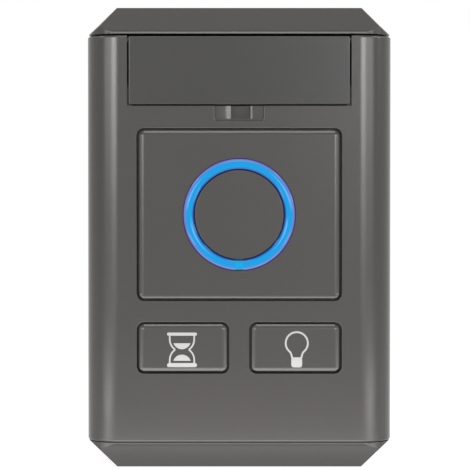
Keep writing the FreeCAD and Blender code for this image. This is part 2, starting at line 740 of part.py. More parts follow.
def add_bay(body):
    """The service bay behind the flap, the flap's pin holes and stops, and the finger recess under it."""
    cut_block(body, "flap_opening", "-bay_half", "bay_half", "bay_low", "cover_end + flap_gap",
              "swing_room_depth", "total_depth")
    cut_block(body, "bay_room", "-bay_half", "bay_half", "bay_low", "bay_top", "bay_floor_depth",
              "swing_room_depth")
    for side, sign in SIDES.items():
        add_block(body, side + "_stop", *side_span(sign, "bay_half - stop_width", "bay_half"), "bay_low",
                  "bay_low + stop_height", "bay_floor_depth", "flap_back - stop_gap")
    drawn = new_sketch(body, "pin_holes_outline", "YZ_Plane")
    draw_circle(drawn, "-pin_depth", "pin_z", "pin_diameter + 2 * pin_fit")
    extrude(body, "Pocket", "pin_holes", drawn, "2 * (bay_half + pin_length + pin_end_gap)", middle=True)
    cut_block(body, "finger_recess", "-recess_width / 2", "recess_width / 2", "recess_low",
              "bay_low + 2 * recess_radius", "total_depth - recess_depth", "total_depth", "recess_radius")
    drawn = new_sketch(body, "finger_scoop_outline", "XY_Plane", "scoop_low")
    draw_polygon(drawn, [("-scoop_width / 2", "-total_depth"), ("scoop_width / 2", "-total_depth"),
                         ("scoop_floor_width / 2", "-scoop_floor"), ("-scoop_floor_width / 2", "-scoop_floor")])
    scoop = extrude(body, "Pocket", "finger_scoop", drawn, "scoop_high - scoop_low")
    scoop.Reversed = True
    for name, x, length, width in (("learn_window", "learn_x", "switch_side", "switch_side"),
                                   ("lock_window", "lock_x", "lock_length", "lock_width")):
        cut_block(body, name, "%s - %s / 2 - floor_play" % (x, length), "%s + %s / 2 + floor_play" % (x, length),
                  "service_z - %s / 2 - floor_play" % width, "service_z + %s / 2 + floor_play" % width,
                  "board_front", "bay_floor_depth")
    cut_bores(body, "status_window", [("0", "service_z")], "status_diameter + 2 * floor_play", "board_front",
              "bay_floor_depth")


def make_service_flap():
    """The flap over the service bay: it swings up on a pin at each end of its top edge."""
    body = new_body("service_flap")
    plate = add_block(body, "plate", "-flap_half", "flap_half", "flap_low", "flap_high", "flap_back", "total_depth")
    front = value("total_depth")
    finish_edges(body, "Fillet", "front_edges", plate,
                 lambda e, x, d, z: near(d, front) and near(e.BoundBox.YLength, 0), "flap_edge_radius")
    rim = "flap_half - flap_rim_inset"
    add_block(body, "rim", "-(%s)" % rim, rim, "flap_low + flap_rim_inset", "pin_z - flap_rim_inset",
              "flap_back - flap_rim_height", "flap_back")
    cut_block(body, "rim_inside", "-(%s - flap_rim_wall)" % rim, "%s - flap_rim_wall" % rim,
              "flap_low + flap_rim_inset + flap_rim_wall", "pin_z - flap_rim_inset - flap_rim_wall",
              "flap_back - flap_rim_height", "flap_back")
    for side, sign in SIDES.items():
        add_block(body, side + "_knuckle", *side_span(sign, "flap_half - knuckle_length", "flap_half"),
                  "pin_z - knuckle_half", "pin_z + knuckle_half", "knuckle_depth", "flap_back")
        drawn = new_sketch(body, side + "_pin_outline", "YZ_Plane",
                           sign + "(flap_half + flap_gap + pin_length)")
        draw_circle(drawn, "-pin_depth", "pin_z", "pin_diameter")
        pin = extrude(body, "Pad", side + "_pin", drawn, "flap_gap + pin_length + knuckle_length / 2")
        pin.Reversed = not sign
    return body


def add_switch_post(body, x, z, front):
    """A cross-shaped post behind a button that presses the plunger of its switch."""
    for name, half_x, half_z in (("post_rib_across", "post_width / 2", "post_rib / 2"),
                                 ("post_rib_upright", "post_rib / 2", "post_width / 2")):
        add_block(body, name, "%s - %s" % (x, half_x), "%s + %s" % (x, half_x), "%s - %s" % (z, half_z),
                  "%s + %s" % (z, half_z), "plunger_top", front)


def make_button(label, left, right, low, high):
    """A button cap: a plate with a skirt, and a flange behind the cover's well that keeps it in."""
    body = new_body(label)
    inside = [left + " + button_gap", right + " - button_gap", low + " + button_gap", high + " - button_gap"]
    plate = add_block(body, "plate", *inside, "button_back", "total_depth", "button_corner")
    front = value("total_depth")
    finish_edges(body, "Chamfer", "front_edge", plate,
                 lambda e, x, d, z: near(d, front) and near(e.BoundBox.YLength, 0), "button_edge_chamfer")
    reach = [left + " + button_gap - flange_reach", right + " - button_gap + flange_reach",
             low + " + button_gap - flange_reach", high + " - button_gap + flange_reach"]
    add_block(body, "flange", *reach, "button_back", "button_back + flange_thickness")
    hollow = [left + " + button_gap + button_wall", right + " - button_gap - button_wall",
              low + " + button_gap + button_wall", high + " - button_gap - button_wall"]
    cut_block(body, "hollow", *hollow, "button_back", "button_inside")
    return body


def make_main_button():
    """The large button: the lit ring and its disc sit in a round hole in the plate."""
    body = make_button("main_button", "-opening_half", "opening_half", "main_low", "main_high")
    cut_bores(body, "ring_hole", [("0", "ring_centre_z")], "2 * (ring_outer_radius + ring_fit)", "button_inside",
              "total_depth")
    return body


def make_small_button(label, sign):
    """A small button, with a post that presses its switch."""
    body = make_button(label, *side_span(sign, "small_inner_x", "opening_half"), "small_low", "small_high")
    add_switch_post(body, sign + "small_centre_x", "small_centre_z", "button_inside")
    return body


def turned(body, name, points):
    """Turns an outline of (depth, radius) points about the ring's own axis."""
    drawn = new_sketch(body, name + "_outline", "YZ_Plane", rise="ring_centre_z")
    draw_polygon(drawn, [("-(%s)" % depth, radius) for depth, radius in points])
    made = body.newObject("PartDesign::Revolution", name)
    made.Profile = drawn
    made.ReferenceAxis = (drawn, ["H_Axis"])
    made.Angle = 360
    return made


def make_ring_light_guide():
    """The lit ring: a clear moulding with a faceted crown and a flange behind the button's plate."""
    body = new_body("ring_light_guide")
    turned(body, "ring", [
        ("ring_flange_back", "ring_inner_radius"),
        ("crown_back", "ring_inner_radius"),
        ("crown_front - ring_facet", "ring_inner_radius + ring_facet"),
        ("crown_front", "ring_inner_radius + crown_height"),
        ("crown_front", "ring_outer_radius - crown_height"),
        ("crown_front - ring_facet", "ring_outer_radius - ring_facet"),
        ("crown_back", "ring_outer_radius"),
        ("ring_flange_front", "ring_outer_radius"),
        ("ring_flange_front", "ring_outer_radius + ring_flange_reach"),
        ("ring_flange_back", "ring_outer_radius + ring_flange_reach")])
    return body


def make_centre_disc():
    """The disc inside the ring: a flange behind the ring keeps it in, and its post presses the main switch."""
    body = new_body("centre_disc")
    turned(body, "disc", [
        ("disc_back", "0"),
        ("total_depth", "0"),
        ("total_depth", "disc_radius"),
        ("disc_flange_front", "disc_radius"),
        ("disc_flange_front", "disc_radius + ring_flange_reach"),
        ("disc_back", "disc_radius + ring_flange_reach")])
    add_switch_post(body, "0", "ring_centre_z", "disc_back")
    return body


def make_battery_door():
    """The battery door in the wall face: two hooks at its lower edge and a spring tongue at its upper one."""
    body = new_body("battery_door")
    add_block(body, "panel", "-door_pocket_half + door_gap", "door_pocket_half - door_gap", "door_low", "door_high",
              "0", "door_thickness")
    for side, sign in SIDES.items():
        span = side_span(sign, "door_tab_place - door_tab_width / 2", "door_tab_place + door_tab_width / 2")
        add_block(body, side + "_tab", *span, "tab_low", "door_low + door_tab_reach", "tab_back", "tab_front")
        add_block(body, side + "_tab_root", *span, "door_low", "door_low + door_tab_reach",
                  "door_thickness / 2", "tab_back")
        cut_block(body, side + "_slit",
                  *side_span(sign, "door_grip_half - door_tab_thickness", "door_grip_half + door_tab_gap"),
                  "door_high - 2 * door_grip_height", "door_high", "0", "door_thickness")
    return body


def make_circuit_board():
    """The circuit board, with a clearance hole at each of its screws."""
    body = new_body("circuit_board")
    add_block(body, "laminate", "-board_half_width", "board_half_width", "board_low", "board_high",
              "board_back", "board_front")
    cut_bores(body, "screw_holes", BOARD_SCREWS, "board_hole_diameter", "board_back", "board_front")
    return body


def square_about(x, z, half):
    """The four edges of a square about a centre: left, right, low and high."""
    return [middle + sign + "(%s)" % half for middle in (x, z) for sign in (" - ", " + ")]


def make_switch(name, x, z):
    """A push switch on the board: its case and its square plunger."""
    case = new_body(name + "_switch")
    add_block(case, "case", *square_about(x, z, "switch_side / 2"), "board_front", "switch_front")
    cut_block(case, "bore", *square_about(x, z, "plunger_side / 2 + plunger_fit"), "switch_bore_back",
              "switch_front")
    plunger = make_box(name + "_plunger", *square_about(x, z, "plunger_side / 2"), "plunger_back", "plunger_top")
    return [case, plunger]


def make_learn_button():
    """The round cap on the plunger of the learn switch."""
    outer = make_rod("learn_cap_outer", "learn_x", "service_z", "learn_cap_diameter", "learn_cap_back",
                     "learn_cap_front")
    socket = make_box("learn_cap_socket", *square_about("learn_x", "service_z", "plunger_side / 2 + plunger_fit"),
                      "learn_cap_back", "plunger_top")
    return subtract("learn_button", outer, socket)


def make_lock_switch():
    """The slide switch that locks the console: its case and its knob."""
    case = new_body("lock_switch")
    add_block(case, "case", "lock_x - lock_length / 2", "lock_x + lock_length / 2", "service_z - lock_width / 2",
              "service_z + lock_width / 2", "board_front", "lock_front")
    reach = "lock_travel / 2 + lock_knob_length / 2 + lock_play"
    cut_block(case, "slot", "lock_x - (%s)" % reach, "lock_x + %s" % reach,
              "service_z - lock_knob_width / 2 - lock_play", "service_z + lock_knob_width / 2 + lock_play",
              "lock_slot_back", "lock_front")
    knob = make_box("lock_knob", "lock_x - lock_travel / 2 - lock_knob_length / 2",
                    "lock_x - lock_travel / 2 + lock_knob_length / 2", "service_z - lock_knob_width / 2",
                    "service_z + lock_knob_width / 2", "lock_knob_back", "lock_knob_front")
    return [case, knob]


def make_status_led():
    """The small lamp in the service bay, a cylinder with a tapered end."""
    stem = make_rod("status_stem", "0", "service_z", "status_diameter", "board_front", "status_tip_back")
    tip = doc.addObject("Part::Cone", "status_tip")
    tip.Placement.Rotation = FreeCAD.Rotation(FreeCAD.Vector(1, 0, 0), 90)
    bind(tip, "Radius1", "status_diameter / 2")
    bind(tip, "Radius2", "status_tip_diameter / 2")
    bind(tip, "Height", "status_tip_height")
    bind(tip, "Placement.Base.y", "-status_tip_back")
    bind(tip, "Placement.Base.z", "service_z")
    return join("status_led", [stem, tip])


def make_ring_leds():
    """Six lamps on the board, under the lit ring."""
    lamps = []
    for number in range(6):
        x = "ring_middle * sin(%d deg)" % (60 * number)
        z = "ring_centre_z + ring_middle * cos(%d deg)" % (60 * number)
        lamps.append(make_box("ring_lamp_%d" % number, *square_about(x, z, "led_side / 2"), "board_front",
                              "board_front + led_height"))
    return group("ring_leds", lamps)


def make_screws(label, centres, shank, reach, head, head_back, head_front, forward):
    """A set of pan-head screws. The shanks point forward from the wall, or back towards it."""
    screws = []
    for number, (x, z) in enumerate(centres):
        name = "%s_%d" % (label, number)
        cap = make_rod(name + "_head", x, z, head, head_back, head_front)
        if forward:
            rod = make_rod(name + "_shank", x, z, shank, head_back, "%s + %s" % (head_front, reach))
        else:
            rod = make_rod(name + "_shank", x, z, shank, "%s - %s" % (head_back, reach), head_front)
        screws.append(join(name, [cap, rod]))
    return group(label, screws)


def make_cell(label, z, turned_round):
    """One round cell, with its raised contact at one end."""
    centre = "(cell_length + cell_nub_length) / 2"
    can = doc.addObject("Part::Cylinder", label + "_can")
    nub = doc.addObject("Part::Cylinder", label + "_nub")
    bind(can, "Height", "cell_length")
    bind(can, "Radius", "cell_diameter / 2")
    bind(nub, "Height", "cell_nub_length")
    bind(nub, "Radius", "cell_nub_diameter / 2")
    can_start = "-(%s) + cell_nub_length" % centre if turned_round else "-(%s)" % centre
    nub_start = "-(%s)" % centre if turned_round else "%s - cell_nub_length" % centre
    for piece, start in ((can, can_start), (nub, nub_start)):
        piece.Placement.Rotation = FreeCAD.Rotation(FreeCAD.Vector(0, 1, 0), 90)
        bind(piece, "Placement.Base.x", start)
        bind(piece, "Placement.Base.y", "-cell_depth")
        bind(piece, "Placement.Base.z", z)
    return join(label, [can, nub])


def make_leaf(body, name, side, z):
    """A bowed contact leaf between the end wall of the battery room and a cell."""
    root = "battery_half_length - contact_thickness"
    tip = "battery_half_length - contact_room"
    drawn = new_sketch(body, name + "_outline", "XY_Plane", "%s - contact_width / 2" % z)
    places = [(root, "cell_depth - contact_width / 2"), (tip, "cell_depth - contact_tail_width / 2"),
              (tip, "cell_depth + contact_tail_width / 2"), (root, "cell_depth + contact_width / 2"),
              (root, "cell_depth + contact_width / 2 - contact_root"),
              (tip + " + contact_thickness", "cell_depth + contact_tail_width / 2"),
              (tip + " + contact_thickness", "cell_depth - contact_tail_width / 2"),
              (root, "cell_depth - contact_width / 2 + contact_root")]
    draw_polygon(drawn, [(side + "(%s)" % x, "-(%s)" % depth) for x, depth in places])
    return extrude(body, "Pad", name, drawn, "contact_width")


def make_contact(label, sign, heights, with_tail):
    """A battery contact: a plate on the end wall with a bowed leaf for each cell, and a tail to the board."""
    body = new_body(label)
    span = side_span(sign, "battery_half_length - contact_thickness", "battery_half_length")
    add_block(body, "plate", *span, "%s - contact_width / 2" % heights[0], "%s + contact_width / 2" % heights[-1],
              "cell_depth - contact_width / 2", "cell_depth + contact_width / 2")
    for number, z in enumerate(heights):
        make_leaf(body, "leaf_%d" % number, sign, z)
    if with_tail:
        add_block(body, "tail", *span, "%s - contact_tail_width / 2" % heights[0],
                  "%s + contact_tail_width / 2" % heights[0], "cell_depth", "board_back")
    return body


def make_antenna():
    """The antenna: a stamped strip that stands on the lower edge of the board like a wide staple."""
    body = new_body("loop_antenna")
    drawn = new_sketch(body, "strip_outline", "XY_Plane", "antenna_z - antenna_strip / 2")
    outer = [("antenna_half", "board_front"), ("antenna_half", "antenna_front - antenna_bend"),
             ("antenna_half - antenna_bend", "antenna_front")]
    inner = [("antenna_half - antenna_bend", "antenna_front - antenna_thickness"),
             ("antenna_half - antenna_thickness", "antenna_front - antenna_bend"),
             ("antenna_half - antenna_thickness", "board_front")]
    right = outer + inner
    left = [("-(%s)" % x, depth) for x, depth in right]
    places = outer + left[2::-1] + left[:2:-1] + inner
    draw_polygon(drawn, [(x, "-(%s)" % depth) for x, depth in places])
    extrude(body, "Pad", "strip", drawn, "antenna_strip")
    return body


def make_all():
    """Builds every sub-part and returns them in a list."""
    made = [make_rear_housing(), make_front_cover(), make_service_flap(), make_main_button(),
            make_ring_light_guide(), make_centre_disc(), make_small_button("delay_button", "-"),
            make_small_button("light_button", ""), make_battery_door(), make_circuit_board()]
    for name, x, z in (("main", "0", "ring_centre_z"), ("delay", "-small_centre_x", "small_centre_z"),
                       ("light", "small_centre_x", "small_centre_z"), ("learn", "learn_x", "service_z")):
        made += make_switch(name, x, z)
    made.append(make_learn_button())
    made += make_lock_switch()
    made += [make_status_led(), make_ring_leds()]
    made.append(make_box("controller_chip", "controller_x - controller_side / 2",
                         "controller_x + controller_side / 2", "module_top - controller_side", "module_top",
                         "board_front", "board_front + controller_height"))
    made.append(make_box("radio_module", "radio_x - radio_width / 2", "radio_x + radio_width / 2",
                         "module_top - radio_length", "module_top", "board_front", "board_front + radio_height"))
    made.append(make_antenna())
    made.append(make_screws("cover_screws", COVER_SCREWS, "cover_screw_diameter", "cover_screw_reach",
                            "cover_head_diameter", "cover_head_sink", "head_seat", True))
    made.append(make_screws("board_screws", BOARD_SCREWS, "board_screw_diameter", "board_screw_reach",
                            "board_head_diameter", "board_front", "board_front + board_head_height", False))
    upper, lower = "battery_centre_z + cell_offset", "battery_centre_z - cell_offset"
    made.append(make_cell("upper_cell", upper, True))
    made.append(make_cell("lower_cell", lower, False))
    made.append(make_contact("positive_contact", "-", [upper], True))
    made.append(make_contact("negative_contact", "-", [lower], True))
    made.append(make_contact("bridge_contact", "", [lower, upper], False))
    return made


def check(parts):
    """Stops if any object failed, if a pocket cut nothing, or if a sub-part has no sound shape."""
    for item in doc.Objects:
        if {"Invalid", "Error"} & set(item.State):
            raise SystemExit("%s failed: %s" % (item.Label, item.State))
        if item.TypeId == "PartDesign::Pocket" and item.Shape.Volume > item.BaseFeature.Shape.Volume - 1e-3:
            raise SystemExit("%s in %s cuts nothing" % (item.Label, item.getParentGeoFeatureGroup().Label))
    for item in parts:
        if item.Shape.isNull() or not item.Shape.isValid():
            raise SystemExit("%s has no sound shape" % item.Label)


PARTS = make_all()
doc.recompute()
check(PARTS)
os.makedirs("parts", exist_ok=True)
for part in PARTS:
    part.Shape.exportStep(os.path.join("parts", part.Label + ".step"))
    size = part.Shape.BoundBox
    print("%-18s %2d solid  %7.2f x %6.2f x %7.2f mm  %10.1f mm3" % (
        part.Label, len(part.Shape.Solids), size.XLength, size.YLength, size.ZLength, part.Shape.Volume))
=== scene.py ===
"""Wireless wall console: the looks of a garage wall station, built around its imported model.

The frame has X to the right, Z up and the wall plane at Y = 0, and the front faces -Y. The classes hold
their sizes in millimetres and write a place as x, depth and z. The depth is the distance from the wall.
"""

import logging
import math
from collections.abc import Callable, Sequence
from dataclasses import dataclass
from enum import Enum

import bmesh
import bpy
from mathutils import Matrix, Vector


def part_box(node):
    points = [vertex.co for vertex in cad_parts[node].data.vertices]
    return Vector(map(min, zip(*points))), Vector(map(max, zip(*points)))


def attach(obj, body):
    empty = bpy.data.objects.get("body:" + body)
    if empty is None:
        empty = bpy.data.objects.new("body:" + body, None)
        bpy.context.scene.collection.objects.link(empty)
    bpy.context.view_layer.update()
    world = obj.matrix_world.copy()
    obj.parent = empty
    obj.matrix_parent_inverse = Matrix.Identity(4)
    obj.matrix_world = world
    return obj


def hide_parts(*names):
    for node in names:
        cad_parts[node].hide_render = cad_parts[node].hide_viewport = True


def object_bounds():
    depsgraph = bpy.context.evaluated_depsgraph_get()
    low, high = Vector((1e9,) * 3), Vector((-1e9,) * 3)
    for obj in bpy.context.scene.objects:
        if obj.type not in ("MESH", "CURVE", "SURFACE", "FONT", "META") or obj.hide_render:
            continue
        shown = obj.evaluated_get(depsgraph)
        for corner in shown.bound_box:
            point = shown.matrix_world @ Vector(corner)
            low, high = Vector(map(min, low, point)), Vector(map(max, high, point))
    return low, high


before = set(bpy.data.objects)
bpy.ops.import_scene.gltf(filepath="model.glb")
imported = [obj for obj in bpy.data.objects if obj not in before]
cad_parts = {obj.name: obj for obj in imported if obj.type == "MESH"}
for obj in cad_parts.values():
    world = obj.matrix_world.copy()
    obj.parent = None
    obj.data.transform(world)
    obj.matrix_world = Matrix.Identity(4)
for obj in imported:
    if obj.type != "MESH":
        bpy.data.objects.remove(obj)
CAD_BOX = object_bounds()

MM = 0.001
ARC_STEPS = 8
TURN_STEPS = 128
BORE_STEPS = 48
SHARP_ANGLE = math.radians(32)
EDGE_ANGLE = math.radians(20)
FLAT_ANGLE = math.radians(0.5)
MERGE_DISTANCE = 1e-7
# How far a tool runs past a surface, a joined part into its neighbour, and the least lap of two cuts.
PAST = 1.0
INTO = 0.2
LAP = 0.1

Pair = tuple[float, float]
Place = tuple[float, float, float]
Ring = Sequence[Place]
EdgeTest = Callable[[float, float, float], bool]
Tree = bpy.types.NodeTree
Socket = bpy.types.NodeSocket
Inputs = dict[str | int, object]

log = logging.getLogger("wall_console")


class Axis(Enum):
    """The direction that an outline is extruded in, and so what its pairs hold."""

    ACROSS = "x"
    FORWARD = "depth"
    UP = "z"


class Carve(Enum):
    """What a tool does to the solid that it meets."""

    ADD = "UNION"
    CUT = "DIFFERENCE"


def point(place: Place) -> Vector:
    """Turns a place of x, depth and z in millimetres into metres in the frame."""
    x, depth, z = place
    return Vector((x, -depth, z)) * MM


def arc(centre: Pair, radius: float, start: float, end: float, steps: int = ARC_STEPS) -> list[Pair]:
    """Lists points along an arc.

    Args:
        centre: The arc's centre.
        radius: Its radius.
        start: The angle of the first point in degrees, anticlockwise from the first axis.
        end: The angle of the last point.
        steps: The number of chords.

    Returns:
        The points, with both ends.
    """
    angles = [math.radians(start + (end - start) * i / steps) for i in range(steps + 1)]
    return [(centre[0] + radius * math.cos(a), centre[1] + radius * math.sin(a)) for a in angles]


def circle(centre: Pair, radius: float, sides: int) -> list[Pair]:
    """Lists the corners of a regular polygon, anticlockwise from the first axis."""
    return arc(centre, radius, 0, 360 - 360 / sides, sides - 1)


@dataclass(frozen=True)
class Span:
    """A rectangle as seen from the front."""

    left: float
    right: float
    low: float
    high: float

    @property
    def centre(self) -> Pair:
        """The middle as x and z."""
        return (self.left + self.right) / 2, (self.low + self.high) / 2

    @property
    def edges(self) -> tuple[float, float, float, float]:
        """The left, right, low and high edge."""
        return self.left, self.right, self.low, self.high

    def grown(self, reach: float) -> "Span":
        """The rectangle with each edge moved outwards."""
        return Span(self.left - reach, self.right + reach, self.low - reach, self.high + reach)

    def outline(self, radius: float = 0.0, steps: int = ARC_STEPS) -> list[Pair]:
        """Draws the rectangle with round corners.

        Args:
            radius: The corners' radius, or 0 for sharp ones.
            steps: The number of chords in each corner.

        Returns:
            The corners' points, anticlockwise from the lower right one.
        """
        left, right, low, high = self.edges
        if radius <= 0:
            return [(right, low), (right, high), (left, high), (left, low)]
        corners = [(right - radius, low + radius, -90), (right - radius, high - radius, 0),
                   (left + radius, high - radius, 90), (left + radius, low + radius, 180)]
        return [p for x, z, start in corners for p in arc((x, z), radius, start, start + 90, steps)]


@dataclass(frozen=True)
class Box(Span):
    """A block: a rectangle between two depths."""

    back: float
    front: float

    @staticmethod
    def of(node: str) -> "Box":
        """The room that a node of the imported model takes, in millimetres."""
        low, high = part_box(node)
        return Box(low.x / MM, high.x / MM, low.z / MM, high.z / MM, -high.y / MM, -low.y / MM)


def quarter(depth: float, radius: float, steps: int = ARC_STEPS // 2, outwards: bool = False) -> list[Pair]:
    """Lists the depths and insets of a rounded front edge.

    Args:
        depth: The depth of the surface that the edge runs into.
        radius: The edge's radius.
        steps: The number of chords.
        outwards: True for the mouth of a hole, whose outline grows towards the front.

    Returns:
        Pairs of depth and inset, from the side to the front.
    """
    turns = [math.radians(90 * i / steps) for i in range(steps + 1)]
    sign = -1 if outwards else 1
    return [(depth - radius + radius * math.sin(t), sign * radius * (1 - math.cos(t))) for t in turns]


def arch(half: float, back: float, front: float, radius: float, steps: int) -> list[Pair]:
    """Draws the section of a sleeve as x and depth.

    Args:
        half: Half its width.
        back: The depth of its open side.
        front: The depth of its face.
        radius: The radius of its front corners.
        steps: The number of chords in each corner.

    Returns:
        The points from the left end at the back round to the right one.
    """
    left = arc((radius - half, front - radius), radius, 180, 90, steps)
    right = arc((half - radius, front - radius), radius, 90, 0, steps)
    return [(-half, back), *left, *right, (half, back)]


class Solid:
    """A closed mesh in the making."""

    def __init__(self, rings: Sequence[Ring], looped: bool = False) -> None:
        """Skins rings of places. A ring of one place is a pole.

        Args:
            rings: The rings, each with one place or with as many as the others.
            looped: True where the last ring joins the first one, so that nothing needs a lid.
        """
        mesh = bmesh.new()
        rows = [[mesh.verts.new(point(place)) for place in ring] for ring in rings]
        pairs = list(zip(rows, rows[1:])) + ([(rows[-1], rows[0])] if looped else [])
        for low, high in pairs:
            count = max(len(low), len(high))
            for i in range(count):
                j = (i + 1) % count
                corners = [low[i % len(low)], low[j % len(low)], high[j % len(high)], high[i % len(high)]]
                mesh.faces.new(list(dict.fromkeys(corners)))
        if not looped:
            for row in (rows[0], rows[-1]):
                if len(row) > 1:
                    mesh.faces.new(row)
        bmesh.ops.recalc_face_normals(mesh, faces=mesh.faces)
        self.mesh = bpy.data.meshes.new("draft")
        mesh.to_mesh(self.mesh)
        mesh.free()

    @staticmethod
    def extruded(outline: Sequence[Pair], axis: Axis, start: float, end: float) -> "Solid":
        """Extrudes an outline of (depth, z), (x, z) or (x, depth) pairs across, forward or up."""
        places = {Axis.ACROSS: lambda a, b, at: (at, a, b), Axis.FORWARD: lambda a, b, at: (a, at, b),
                  Axis.UP: lambda a, b, at: (a, b, at)}[axis]
        return Solid([[places(a, b, at) for a, b in outline] for at in (start, end)])

    @staticmethod
    def block(*edges: float) -> "Solid":
        """Makes a block from its left, right, low, high, back and front."""
        box = Box(*edges)
        return Solid.extruded(box.outline(), Axis.FORWARD, box.back, box.front)

    @staticmethod
    def stepped(span: Span, radius: float, profile: Sequence[Pair]) -> "Solid":
        """Skins round-cornered rectangles, one for each pair of depth and inset."""
        least = 0.01
        return Solid([[(x, depth, z) for x, z in span.grown(-inset).outline(max(radius - inset, least))]
                      for depth, inset in profile])

    @staticmethod
    def turned(centre: Pair, profile: Sequence[Pair], steps: int = TURN_STEPS) -> "Solid":
        """Turns pairs of depth and radius about an axis that points forward.

        Args:
            centre: The axis as x and z.
            profile: The outline. It is closed by itself, or starts and ends on the axis.
            steps: The number of sides.

        Returns:
            The turned solid.
        """
        turns = [2 * math.pi * i / steps for i in range(steps)]
        rings = [[(centre[0] + r * math.cos(t), depth, centre[1] + r * math.sin(t)) for t in turns]
                 if r > 0 else [(centre[0], depth, centre[1])] for depth, r in profile]
        return Solid(rings, looped=profile[0][1] > 0 and profile[-1][1] > 0)

    def carve(self, *steps: tuple[Carve, "Solid"]) -> "Solid":
        """Joins and cuts with other solids, in the order given."""
        base = linked("draft", self.mesh)
        helpers = [linked("tool", tool.mesh) for _, tool in steps]
        for (action, _), helper in zip(steps, helpers):
            step = base.modifiers.new("step", "BOOLEAN")
            step.operation = action.value
            step.solver = "EXACT"
            step.object = helper
        self.mesh = plain_mesh(base)
        for helper in [base, *helpers]:
            bpy.data.objects.remove(helper)
        return self

    def cut(self, *tools: "Solid") -> "Solid":
        """Cuts other solids away."""
        return self.carve(*((Carve.CUT, tool) for tool in tools))

    def add(self, *tools: "Solid") -> "Solid":
        """Joins other solids on."""
        return self.carve(*((Carve.ADD, tool) for tool in tools))

    def opened(self) -> bmesh.types.BMesh:
        """Opens the mesh for editing, with its doubles merged."""
        mesh = bmesh.new()
        mesh.from_mesh(self.mesh)
        bmesh.ops.remove_doubles(mesh, verts=mesh.verts, dist=MERGE_DISTANCE)
        return mesh

    def round_edges(self, test: EdgeTest, radius: float, steps: int = 3) -> "Solid":
        """Rounds the sharp edges whose middle passes a test.

        Args:
            test: Takes x, depth and z in millimetres.
            radius: The edges' radius.
            steps: The number of chords across each rounding.

        Returns:
            The solid itself.
        """
        mesh = self.opened()
        bmesh.ops.dissolve_limit(mesh, angle_limit=FLAT_ANGLE, verts=mesh.verts, edges=mesh.edges)
        picked = []
        for edge in mesh.edges:
            if edge.is_manifold and edge.calc_face_angle() > EDGE_ANGLE:
                middle = (edge.verts[0].co + edge.verts[1].co) / 2 / MM
                if test(middle.x, -middle.y, middle.z):
                    picked.append(edge)
        bmesh.ops.bevel(mesh, geom=picked, offset=radius * MM, offset_type="OFFSET", segments=steps,
                        profile=0.5, affect="EDGES", clamp_overlap=True)
        mesh.to_mesh(self.mesh)
        mesh.free()
        return self

    def repeated(self, layout: "Layout", material: bpy.types.Material,
                 **sizes: int | float | Vector) -> "Solid":
        """Repeats the solid by a Geometry Nodes tree.

        Args:
            layout: A row or a ring.
            material: What the tree's Set Material puts on.
            **sizes: The tree's own inputs, named as in repeat_tree, in metres.

        Returns:
            The solid itself, now all the copies.
        """
        base = linked("draft", self.mesh)
        repeat = base.modifiers.new("repeat", "NODES")
        repeat.node_group = repeat_tree(layout)
        values = {"Finish": material, **sizes}
        for item in repeat.node_group.interface.items_tree:
            if item.in_out == "INPUT" and item.name in values:
                repeat[item.identifier] = values[item.name]
        self.mesh = plain_mesh(base)
        bpy.data.objects.remove(base)
        return self

    def piece(self, name: str, material: bpy.types.Material) -> bpy.types.Object:
        """Makes the finished piece: smooth where it curves, flat where it is flat.

        Args:
            name: The piece's name.
            material: Its finish.

        Returns:
            The new object, at the origin.
        """
        mesh = self.opened()
        mesh.to_mesh(self.mesh)
        mesh.free()
        self.mesh.materials.clear()
        self.mesh.materials.append(material)
        for face in self.mesh.polygons:
            face.material_index = 0
            face.use_smooth = True
        self.mesh.set_sharp_from_angle(angle=SHARP_ANGLE)
        made = linked(name, self.mesh)
        weigh = made.modifiers.new("weigh", "WEIGHTED_NORMAL")
        weigh.mode = "FACE_AREA"
        weigh.weight = 100
        weigh.keep_sharp = True
        made.data = plain_mesh(made)
        made.modifiers.clear()
        made.data.name = name
        return made


class Layout(Enum):
    """How the copies of a small part stand."""

    ROW = "copies_in_a_row"
    RING = "copies_in_a_ring"


def repeat_tree(layout: Layout) -> Tree:
    """Builds the tree that repeats its own geometry.

    Args:
        layout: ROW takes Count, First and Step; RING takes Count, Radius, Centre and Turn.

    Returns:
        The Geometry Nodes tree, which ends in Realize Instances and Set Material.
    """
    tree = bpy.data.node_groups.new(layout.value, "GeometryNodeTree")
    kinds = {"Geometry": "NodeSocketGeometry", "Count": "NodeSocketInt", "Finish": "NodeSocketMaterial"}
    if layout is Layout.ROW:
        kinds |= {"First": "NodeSocketVector", "Step": "NodeSocketVector"}
    else:
        kinds |= {"Radius": "NodeSocketFloat", "Centre": "NodeSocketVector", "Turn": "NodeSocketVector"}
    for name, kind in kinds.items():
        tree.interface.new_socket(name=name, in_out="INPUT", socket_type=kind)
    tree.interface.new_socket(name="Geometry", in_out="OUTPUT", socket_type="NodeSocketGeometry")
    given = add_node(tree, "NodeGroupInput").outputs
    if layout is Layout.ROW:
        points = add_node(tree, "GeometryNodeMeshLine", {"mode": "OFFSET"}, {
            "Count": given["Count"], "Start Location": given["First"], "Offset": given["Step"]})
    else:
        ring = add_node(tree, "GeometryNodeMeshCircle", inputs={
            "Vertices": given["Count"], "Radius": given["Radius"]})
        points = add_node(tree, "GeometryNodeTransform", inputs={
            "Geometry": ring.outputs[0], "Translation": given["Centre"], "Rotation": given["Turn"]})
    copies = add_node(tree, "GeometryNodeInstanceOnPoints", inputs={
        "Points": points.outputs[0], "Instance": given["Geometry"]})
    real = add_node(tree, "GeometryNodeRealizeInstances", inputs={"Geometry": copies.outputs[0]})
    painted = add_node(tree, "GeometryNodeSetMaterial", inputs={
        "Geometry": real.outputs[0], "Material": given["Finish"]})
    add_node(tree, "NodeGroupOutput", inputs={"Geometry": painted.outputs[0]})
    return tree


